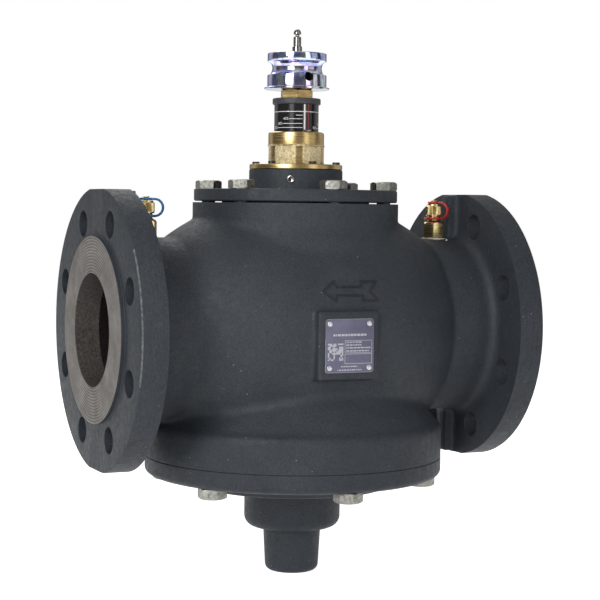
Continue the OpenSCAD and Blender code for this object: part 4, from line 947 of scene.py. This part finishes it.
white, red = [ink_band(0, 360, 156.2, 156.7)], []
for part in range(3):
    start = 120 * part
    white.append(ink_band(start + 19.2, start + 23.4, 143.6, 161.9))
    red.append(ink_band(start + 30.4, start + 33.2, 143.6, 161.9))
    for left, level, words in ((-1.4, 153.8, ""), (-19.3, 151.2, "40%"), (-37.1, 147.8, "60%"), (-56.0, 144.9, "80%")):
        white.append(ink_band(start + left, start + 16.0, level - 0.18, level + 0.18))
        if words:
            white.append(ink_text(words, start + left - 1.5, level - 0.7))
    white.append(ink_text("100%", start + 42.0, 141.9, 1.5))
white, red = joined("white_ink", white), joined("red_ink", red)
paint_piece(white, PRINT)
paint_piece(red, RED_PRINT)
sleeve = joined("black_scale_sleeve", [sleeve, white, red])
place_piece(sleeve, "preset_sleeve", "scale_black", "scale_sleeve")
cap = turned("dark_cap", [(10.1, SLEEVE_TOP), (17.1, SLEEVE_TOP), (17.6, 162.5), (17.6, 165.7), (17.4, 166.3), (16.9, CAP_TOP),
                          (10.1, CAP_TOP)], sides=128)
paint_piece(cap, CAP_DARK)
smooth(cap)
place_piece(cap, "preset_sleeve", "cap_dark", "cap_ring")

# %% Drive hexagon
hexagon = hexagon_head("brass_hexagon", 22.0, CAP_TOP, HEXAGON_TOP, 0.9, 12)
spigot = turned("hexagon_spigot", [(7.5, CAP_TOP + 0.3), (9.0, CAP_TOP + 0.3), (9.0, 180.0), (7.5, 180.0)], sides=64)
combine(hexagon, rod("hexagon_bore", 7.5, (STEM_X, 0, 160), (STEM_X, 0, 190), 64), "DIFFERENCE", "EXACT")
hexagon = joined("brass_hexagon", [hexagon, spigot])
paint_piece(hexagon, BRASS)
smooth(hexagon, 25)
place_piece(hexagon, "preset_sleeve", "brass", "drive_hexagon")

# %% Actuator ring
LOW_BAND, GROOVE_TOP = 183.5, 193.1
groove = []
for i in range(17):
    t = math.pi * i / 16
    rim = 21.2 if i < 8 else 21.1
    groove.append((rim - 3.0 * math.sin(t), LOW_BAND + (GROOVE_TOP - LOW_BAND) * (1 - math.cos(t)) / 2))
ring = turned("zinc_ring", [
    (9.0, HEXAGON_TOP), (23.5, HEXAGON_TOP), (23.8, 173.2), (23.8, 174.1), (23.6, 174.3), (22.1, 174.4), (21.7, 174.8),
    (21.7, LOW_BAND - 0.5), (21.55, LOW_BAND - 0.15), *groove, (21.45, GROOVE_TOP + 0.15), (21.6, GROOVE_TOP + 0.5),
    (21.6, RING_TOP - 0.6), (21.4, RING_TOP - 0.2), (21.0, RING_TOP), (7.5, RING_TOP), (7.5, 180.0), (9.0, 180.0)],
    sides=160)
combine(ring, rod("bar_hole", 3.25, (STEM_X, -9.5, 181.4), (STEM_X, -26, 181.4), 40))
paint_piece(ring, BLUE_ZINC, BLACK_STEEL)
# The inside of the bar hole gets the black steel finish: painted shade in the hole.
finish_where(ring, 1, lambda c, n: c.y < -9 and math.hypot(c.x - STEM_X, c.z - 181.4) < 3.4)
smooth(ring)
place_piece(ring, "preset_sleeve", "blue_zinc", "actuator_ring")

# %% [markdown]
# ## Stem
# The stem ends in a thin neck and a mushroom head, which the actuator grips.

# %% Stem
stem = turned("valve_stem", [
    (4.0, 44.0), (4.0, 64.0), (5.0, 64.0), (5.0, 142.9), (3.6, 142.9), (3.6, 145.9), (2.9, 145.9), (2.9, 147.1), (3.6, 147.1),
    (3.6, 203.6), (3.45, 204.3), (2.95, 204.8), (2.85, 205.1), (2.85, 210.9), (2.6, 211.4), (1.7, 211.6), (1.42, 211.9),
    (1.42, 212.7), (1.9, 213.0), (2.8, 213.3), (2.8, 214.0), (2.5, 215.4), (1.9, 216.4), (1.0, 216.9), (0.3, 217.0)],
    sides=64, closed=False)
paint_piece(stem, STAINLESS)
smooth(stem)
place_piece(stem, "stem", "stainless", "stem")

# %% [markdown]
# ## Test plugs
# A brass hexagon screws into the top of each tube. Its knurled cap is tethered by a small
# plastic strap, blue at the outlet and red at the inlet.

# %% Test plugs
KNURLS = 44


def test_plug(side, lift, label, strap_finish, strap_slot, strap_turn):
    shift = Matrix.Translation((side * 115.5 * MM, 0, 0))
    body = hexagon_head(f"{label}_plug_body", 14.0, 64 + lift, 77.5, 1.6)
    collar = turned("collar", [(4.4, 76.9), (6.3, 77.0), (6.3, 77.5), (5.0, 78.1), (4.6, 78.6), (4.6, 87.6), (4.2, 88.0),
                               (2.2, 88.0), (2.2, 76.9)], sides=40)
    thread = rod("thread", 5.0, (STEM_X, 0, 53), (STEM_X, 0, 64.6 + lift), 24)
    body = joined(f"{label}_plug_body", [body, collar, thread])
    body.data.transform(shift)
    paint_piece(body, BRIGHT_BRASS)
    smooth(body, 25)
    place_piece(body, "root", "brass", f"{label}_nipple", f"{label}_neck")

    cap = turned(f"{label}_plug_cap", [(5.2, 81.9), (5.7, 81.9), (6.0, 82.3), (6.0, 82.9), (6.15, 83.2), (6.15, 88.8),
                                       (6.0, 89.2), (5.6, 89.6), (5.2, 89.9), (5.1, 90.8), (1.8, 90.9), (1.8, 93.3),
                                       (2.5, 93.35), (2.6, 93.7), (2.2, 93.9), (0.2, 93.9), (0.2, 88.9), (5.2, 88.9)],
                 sides=2 * KNURLS)
    for i, vertex in enumerate(cap.data.vertices):
        px, py, pz = vertex.co.x - STEM_X * MM, vertex.co.y, vertex.co.z
        turn = round(math.atan2(py, px) / (2 * math.pi) * 2 * KNURLS)
        if 83.0 < pz / MM < 89.0 and math.hypot(px, py) / MM > 6.1 and turn % 2:
            vertex.co.x -= px * 0.06
            vertex.co.y -= py * 0.06
    cap.data.transform(shift)
    paint_piece(cap, BRIGHT_BRASS)
    smooth(cap, 20)
    place_piece(cap, f"{label}_cap", "brass", f"{label}_cap")

    strap = plug_strap(f"{label}_plug_strap", strap_turn)
    strap.data.transform(shift)
    paint_piece(strap, strap_finish)
    smooth(strap, 60)
    place_piece(strap, f"{label}_strap", strap_slot, f"{label}_strap")


def plug_strap(name, turn):
    """A strap bent like a D from the pin on the cap to the neck under it."""
    low, high = 79.1, 92.9
    middle, bend = (low + high) / 2, (high - low) / 2 - 0.9
    bend_x = 13.0 - bend - 0.9
    deselect()
    bpy.ops.mesh.primitive_circle_add(vertices=12, radius=1, fill_type="NOTHING")
    strap = bpy.context.object
    strap.name = name
    bpy.ops.object.mode_set(mode="EDIT")
    bpy.ops.mesh.select_all(action="SELECT")
    bpy.ops.transform.resize(value=(1.9 * MM, 0.9 * MM, 1))
    bpy.ops.transform.rotate(value=math.pi / 2, orient_axis="X", center_override=(0, 0, 0))
    bpy.ops.transform.rotate(value=math.pi / 2, orient_axis="Z", center_override=(0, 0, 0))
    start = Vector((2.6, 0, high - 0.9)) * MM
    bpy.ops.transform.translate(value=start)
    bpy.ops.mesh.edge_face_add()
    bpy.ops.mesh.extrude_region_move(TRANSFORM_OT_translate={"value": ((bend_x - 2.6) * MM, 0, 0)})
    bpy.ops.mesh.spin(steps=18, angle=-math.pi, center=(bend_x * MM, 0, middle * MM), axis=(0, 1, 0), dupli=False)
    bpy.ops.mesh.extrude_region_move(TRANSFORM_OT_translate={"value": ((5.6 - bend_x) * MM, 0, 0)})
    bpy.ops.mesh.select_all(action="SELECT")
    bpy.ops.mesh.remove_doubles(threshold=0.01 * MM)
    bpy.ops.mesh.normals_make_consistent(inside=False)
    bpy.ops.object.mode_set(mode="OBJECT")
    settle(strap)
    strap.data.transform(Matrix.Translation((STEM_X * MM, 0, 0)))
    upper = turned("upper_eye", [(2.2, high - 1.7), (4.3, high - 1.7), (4.6, high - 1.2), (4.6, high - 0.5), (4.2, high),
                                 (2.3, high), (2.2, high - 0.4)], sides=36)
    lower = turned("lower_eye", [(5.0, low), (6.9, low), (7.3, low + 0.5), (7.3, low + 1.3), (6.9, low + 1.8),
                                 (5.1, low + 1.8), (5.0, low + 1.4)], sides=36)
    strap = joined(name, [strap, upper, lower])
    axis = Matrix.Translation((STEM_X * MM, 0, 0))
    strap.data.transform(axis @ Matrix.Rotation(math.radians(-turn), 4, "Z") @ axis.inverted())
    return strap


test_plug(-1, 0.0, "outlet", BLUE_PLASTIC, "blue_plastic", 28)
test_plug(1, 1.2, "inlet", RED_PLASTIC, "red_plastic", 57)

# %% Sealant ring under the inlet plug
sealant = turned("sealant_ring", [(5.0, 64.0), (9.0, 64.0), (9.4, 64.3), (9.1, 65.0), (8.2, 65.4), (5.0, 65.2)],
                 at=(STEM_X + 115.5, 0, 0), sides=72)
for vertex in sealant.data.vertices:
    px, py = vertex.co.x / MM - STEM_X - 115.5, vertex.co.y / MM
    turn = math.atan2(py, px)
    if math.hypot(px, py) > 7:
        swell = 1 + 0.05 * math.sin(3 * turn + 1) + 0.04 * math.sin(7 * turn) + 0.03 * math.sin(13 * turn + 2)
        vertex.co.x = (STEM_X + 115.5 + px * swell) * MM
        vertex.co.y = py * swell * MM
deselect()
bpy.ops.mesh.primitive_uv_sphere_add(segments=12, ring_count=8, radius=0.7 * MM,
                                     location=(0.2745, -0.0135, 0.0634))
drip = bpy.context.object
drip.scale = (1, 1, 2.1)
settle(drip)
sealant = joined("sealant_ring", [sealant, drip])
paint_piece(sealant, SEALANT)
smooth(sealant, 60)
place_piece(sealant, "root", "white_seal", "inlet_seal_ring")

# %% [markdown]
# ## Label plate and rivets
# The plate is bare of any maker's words. A few plain bars stand where small print would
# be.

# %% Label plate
label = block("label_sheet", (LABEL_X - LABEL_WIDTH / 2, LABEL_FRONT - 0.8, LABEL_Z - LABEL_HEIGHT / 2),
              (LABEL_X + LABEL_WIDTH / 2, LABEL_FRONT, LABEL_Z + LABEL_HEIGHT / 2))
only(label)
bpy.ops.object.mode_set(mode="EDIT")
bpy.ops.mesh.select_mode(type="EDGE")
bpy.ops.mesh.select_all(action="DESELECT")
bpy.ops.object.mode_set(mode="OBJECT")
for edge in label.data.edges:
    a, b = (label.data.vertices[i].co for i in edge.vertices)
    edge.select = abs(a.x - b.x) < 1e-6 and abs(a.z - b.z) < 1e-6
bpy.ops.object.mode_set(mode="EDIT")
bpy.ops.mesh.bevel(offset=2.0 * MM, segments=5)
bpy.ops.object.mode_set(mode="OBJECT")
round_edges(label, 0.15, 2, 60)
paint_piece(label, PLATE, RIVET)
finish_where(label, 1, lambda c, n: abs(n.y) < 0.95)
smooth(label)

# %% Plain print on the label
random.seed(4)
sheets = []


def print_bar(left, top, right, bottom):
    """A printed bar. Its edges are shares of the plate's width and height from its top left."""
    x, z = LABEL_X - LABEL_WIDTH / 2, LABEL_Z + LABEL_HEIGHT / 2
    sheets.append(block("print_bar", (x + left * LABEL_WIDTH, LABEL_FRONT - 0.83, z - bottom * LABEL_HEIGHT),
                        (x + right * LABEL_WIDTH, LABEL_FRONT - 0.79, z - top * LABEL_HEIGHT)))


def print_row(left, right, middle, height):
    """A row of short bars, as small print looks from afar."""
    at = left
    while at < right - 0.015:
        end = min(right, at + random.uniform(0.015, 0.07))
        print_bar(at, middle - height / 2, end, middle + height / 2)
        at = end + 0.014


for left, top, right, bottom in ((0.4, 0.4, 0.965, 0.635), (0.4, 0.65, 0.965, 0.835)):
    print_bar(left, top, right, top + 0.008)
    print_bar(left, bottom - 0.008, right, bottom)
    print_bar(left, top + 0.008, left + 0.008, bottom - 0.008)
    print_bar(right - 0.008, top + 0.008, right, bottom - 0.008)
for left, right, middle, height in ((0.43, 0.75, 0.435, 0.022), (0.43, 0.75, 0.487, 0.022), (0.43, 0.93, 0.54, 0.022),
                                    (0.43, 0.9, 0.597, 0.022), (0.16, 0.86, 0.3, 0.04), (0.32, 0.68, 0.885, 0.02),
                                    (0.25, 0.77, 0.95, 0.02)):
    print_row(left, right, middle, height)
for row in range(11):
    for column in range(11):
        if random.random() < 0.56 or (row in (0, 10) and column in (0, 10)):
            print_bar(0.05 + column * 0.029, 0.455 + row * 0.029, 0.078 + column * 0.029, 0.483 + row * 0.029)
label_ink = joined("label_ink", sheets)
paint_piece(label_ink, LABEL_PRINT)
label = joined("label_sheet", [label, label_ink])
place_piece(label, "root", "label", "label_plate")

# %% Drive rivets
rivets = []
for sx in (-1, 1):
    for sz in (-1, 1):
        dome = turned("rivet", [(1.2, -3.5), (1.2, 0.8), (1.9, 0.8), (1.85, 1.1), (1.5, 1.4), (0.9, 1.52), (0.2, 1.55)],
                      at=(0, 0, 0), sides=24, closed=False)
        turn = Matrix.Rotation(math.radians(90), 4, "X")
        spot = Vector((LABEL_X + sx * LABEL_WIDTH * 0.41, LABEL_FRONT, LABEL_Z + sz * LABEL_HEIGHT * 0.41)) * MM
        dome.data.transform(Matrix.Translation(spot) @ turn)
        rivets.append(dome)
rivets = joined("label_rivet_heads", rivets)
paint_piece(rivets, RIVET)
smooth(rivets)
place_piece(rivets, "root", "rivet", "label_rivets")

# %% [markdown]
# ## Springs inside
# Two coil springs sit inside. Each is a ring of wire drawn up a screw line.

# %% Coil springs


def coil_spring(node, radius, wire, turns, low, high):
    """A coil spring of wire drawn up a screw line."""
    deselect()
    bpy.ops.mesh.primitive_circle_add(vertices=14, radius=wire * MM, rotation=(math.pi / 2, 0, 0),
                                      location=(radius * MM, 0, (low + wire) * MM))
    spring = bpy.context.object
    spring.name = f"{node}_coil"
    settle(spring)
    step = spring.modifiers.new("coil", "SCREW")
    step.screw_offset = (high - low - 2 * wire) / turns * MM
    step.iterations = turns
    step.steps = step.render_steps = 36
    bpy.ops.object.modifier_apply(modifier=step.name)
    bpy.ops.object.mode_set(mode="EDIT")
    bpy.ops.mesh.select_all(action="SELECT")
    bpy.ops.mesh.fill_holes(sides=0)
    bpy.ops.mesh.normals_make_consistent(inside=False)
    bpy.ops.object.mode_set(mode="OBJECT")
    spring.data.transform(Matrix.Translation((STEM_X * MM, 0, 0)))
    paint_piece(spring, SPRING_STEEL)
    smooth(spring, 50)
    place_piece(spring, "root", "spring_steel", node)
    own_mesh(spring)


coil_spring("stem_spring", 8.4, 1.0, 8, 108.2, 142.6)
coil_spring("diaphragm_spring", 19.0, 2.4, 5, -134.6, -94.5)

# %% Interior and remaining CAD nodes
slot_of = {
    "top_cover_gasket": GASKET, "bonnet_seal": RUBBER, "stem_bush": BRONZE, "stem_seals": RUBBER,
    "gland_ring": BRASS, "seat_cage": BRONZE, "cage_gasket": GASKET,
    "upper_seat": STAINLESS, "lower_seat": STAINLESS, "guide_plate": ZINC, "guide_plate_seal": RUBBER,
    "guide_plate_ring": SPRING_STEEL, "guide_bush": BRONZE, "diaphragm": RUBBER,
    "spring_seat": ZINC, "stub_bush": BRONZE, "plug_cores": RUBBER,
    "control_plug": STAINLESS, "control_plug_seal": RUBBER, "control_plug_nut": ZINC,
    "spring_cup": ZINC, "circlip": SPRING_STEEL, "stop_bush": STAINLESS, "regulator_spindle": STAINLESS,
    "throttle_plug": STAINLESS, "throttle_seal": RUBBER, "throttle_nut": ZINC,
    "upper_diaphragm_plate": ZINC, "lower_diaphragm_plate": ZINC,
}
for node, finish in slot_of.items():
    paint_piece(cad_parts[node], finish)
    smooth(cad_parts[node])
print("inner pieces finished:", len(slot_of))

# %% [markdown]
# ## Floor, light and camera
# The floor is plain and pale. To the camera and in reflections it and the world are
# white, and the floor keeps the soft shadow of the valve.

# %% Floor
deselect()
bpy.ops.mesh.primitive_plane_add(size=6, location=(STEM_X * MM, 0, -0.1806))
floor = bpy.context.object
floor.name = "studio_floor"
floor_finish = Finish("studio_floor", specular=0.1)
floor_finish.colour(floor_finish.ramp(floor_finish.noise(300, 2), [(0.3, (0.86, 0.86, 0.86)), (0.7, (0.9, 0.9, 0.9))]))
floor_finish.roughness(0.9)
floor.data.materials.append(floor_finish.material)


def seen_directly(tree):
    """One where the camera, a shiny metal or glass looks, and nought for all other light."""
    ways = tree.nodes.new("ShaderNodeLightPath")
    result = ways.outputs["Is Camera Ray"]
    for name in ("Is Glossy Ray", "Is Transmission Ray"):
        node = tree.nodes.new("ShaderNodeMath")
        node.operation = "MAXIMUM"
        tree.links.new(result, node.inputs[0])
        tree.links.new(ways.outputs[name], node.inputs[1])
        result = node.outputs[0]
    return result


glow = floor_finish.spread(seen_directly(floor_finish.tree), 0.0, 0.93, 0.0, 1.0)
floor_finish.shader.inputs["Emission Color"].default_value = (1, 1, 1, 1)
floor_finish.link(glow, floor_finish.shader.inputs["Emission Strength"])

# %% [markdown]
# The world is white to the camera and even for soft light. To metals it looks like a
# studio: two bright windows, dim walls between them and a pale ceiling.

# %% World
world = bpy.data.worlds.new("studio")
bpy.context.scene.world = world
world.use_nodes = True
sky = world.node_tree
sky.nodes.clear()


def sky_node(kind, **inputs):
    node = sky.nodes.new(kind)
    for name, value in inputs.items():
        node.inputs[name].default_value = value
    return node


towards = sky_node("ShaderNodeTexCoord")
spun = sky_node("ShaderNodeMapping", Rotation=(0, 0, math.radians(114.3)))
parts = sky_node("ShaderNodeSeparateXYZ")
angle = sky_node("ShaderNodeMath")
angle.operation = "ARCTAN2"
share = sky_node("ShaderNodeMapRange")
for name, value in zip(("From Min", "From Max", "To Min", "To Max"), (-math.pi, math.pi, 0, 1)):
    share.inputs[name].default_value = value
walls = sky_node("ShaderNodeValToRGB")
stops = [(0.0, 0.8), (0.05, 0.25), (0.09, 0.25), (0.13, 0.7), (0.17, 0.6), (0.2, 0.1), (0.27, 0.16), (0.395, 0.15), (0.41, 2.2),
         (0.45, 2.2), (0.467, 0.15), (0.59, 0.15), (0.605, 2.2), (0.642, 2.2), (0.657, 0.05), (0.78, 0.06),
         (0.81, 0.6), (0.88, 0.7), (0.91, 0.25), (0.95, 0.25), (1.0, 0.8)]
while len(walls.color_ramp.elements) < len(stops):
    walls.color_ramp.elements.new(0.5)
for element, (position, value) in zip(walls.color_ramp.elements, stops):
    element.position = position
    element.color = (value, value, value, 1)
ceiling = sky_node("ShaderNodeMapRange")
for name, value in zip(("From Min", "From Max", "To Min", "To Max"), (0.35, 0.8, 0, 1)):
    ceiling.inputs[name].default_value = value
room = sky_node("ShaderNodeMix")
room.data_type = "RGBA"
room.inputs[7].default_value = (0.6, 0.6, 0.6, 1)
sky.links.new(towards.outputs["Generated"], spun.inputs["Vector"])
sky.links.new(spun.outputs["Vector"], parts.inputs[0])
sky.links.new(parts.outputs["Y"], angle.inputs[0])
sky.links.new(parts.outputs["X"], angle.inputs[1])
sky.links.new(angle.outputs[0], share.inputs["Value"])
sky.links.new(share.outputs[0], walls.inputs[0])
sky.links.new(parts.outputs["Z"], ceiling.inputs["Value"])
sky.links.new(ceiling.outputs[0], room.inputs[0])
sky.links.new(walls.outputs[0], room.inputs[6])

soft = sky_node("ShaderNodeBackground", Color=(1, 1, 1, 1), Strength=0.16)
white_sky = sky_node("ShaderNodeBackground", Color=(1, 1, 1, 1), Strength=1.0)
studio = sky_node("ShaderNodeBackground", Strength=1.0)
sky.links.new(room.outputs[2], studio.inputs["Color"])
ways = sky_node("ShaderNodeLightPath")
first = sky_node("ShaderNodeMixShader")
second = sky_node("ShaderNodeMixShader")
out = sky_node("ShaderNodeOutputWorld")
sky.links.new(seen_directly(sky), first.inputs[0])
sky.links.new(soft.outputs[0], first.inputs[1])
sky.links.new(white_sky.outputs[0], first.inputs[2])
sky.links.new(ways.outputs["Is Glossy Ray"], second.inputs[0])
sky.links.new(first.outputs[0], second.inputs[1])
sky.links.new(studio.outputs[0], second.inputs[2])
sky.links.new(second.outputs[0], out.inputs[0])

# %% Lamps


def lamp(name, at, target, size, watts):
    deselect()
    bpy.ops.object.light_add(type="AREA", location=at)
    light = bpy.context.object
    light.name = name
    light.data.size = size
    light.data.energy = watts
    light.rotation_euler = (Vector(target) - Vector(at)).to_track_quat("-Z", "Y").to_euler()
    return light


AIM = (0.155, 0.0, 0.02)
lamp("key_light", (-1.35, -1.1, 0.85), AIM, 0.9, 24)
lamp("front_light", (-0.25, -1.5, 0.1), AIM, 0.7, 9).visible_glossy = False
lamp("fill_light", (1.4, -1.1, 0.5), AIM, 0.8, 1.5)
lamp("back_light", (0.3, 1.3, 1.2), AIM, 0.9, 8)

# %% Camera
yaw, pitch, roll = (math.radians(a) for a in (24.331, 3.112, 0.679))
ahead = Vector((math.sin(yaw) * math.cos(pitch), math.cos(yaw) * math.cos(pitch), -math.sin(pitch)))
level = Vector((math.cos(yaw), -math.sin(yaw), 0))
upright = level.cross(ahead)
right = level * math.cos(roll) + upright * math.sin(roll)
up = upright * math.cos(roll) - level * math.sin(roll)
deselect()
bpy.ops.object.camera_add(location=(-0.3501, -1.1272, 0.0864))
camera = bpy.context.object
camera.name = "portrait_camera"
turn = Matrix((right, up, -ahead)).transposed().to_4x4()
camera.matrix_world = Matrix.Translation(camera.location) @ turn
camera.data.lens = 100.86
camera.data.sensor_width = 36.0
camera.data.clip_end = 50
bpy.context.scene.camera = camera
bpy.context.scene.view_settings.view_transform = "Standard"
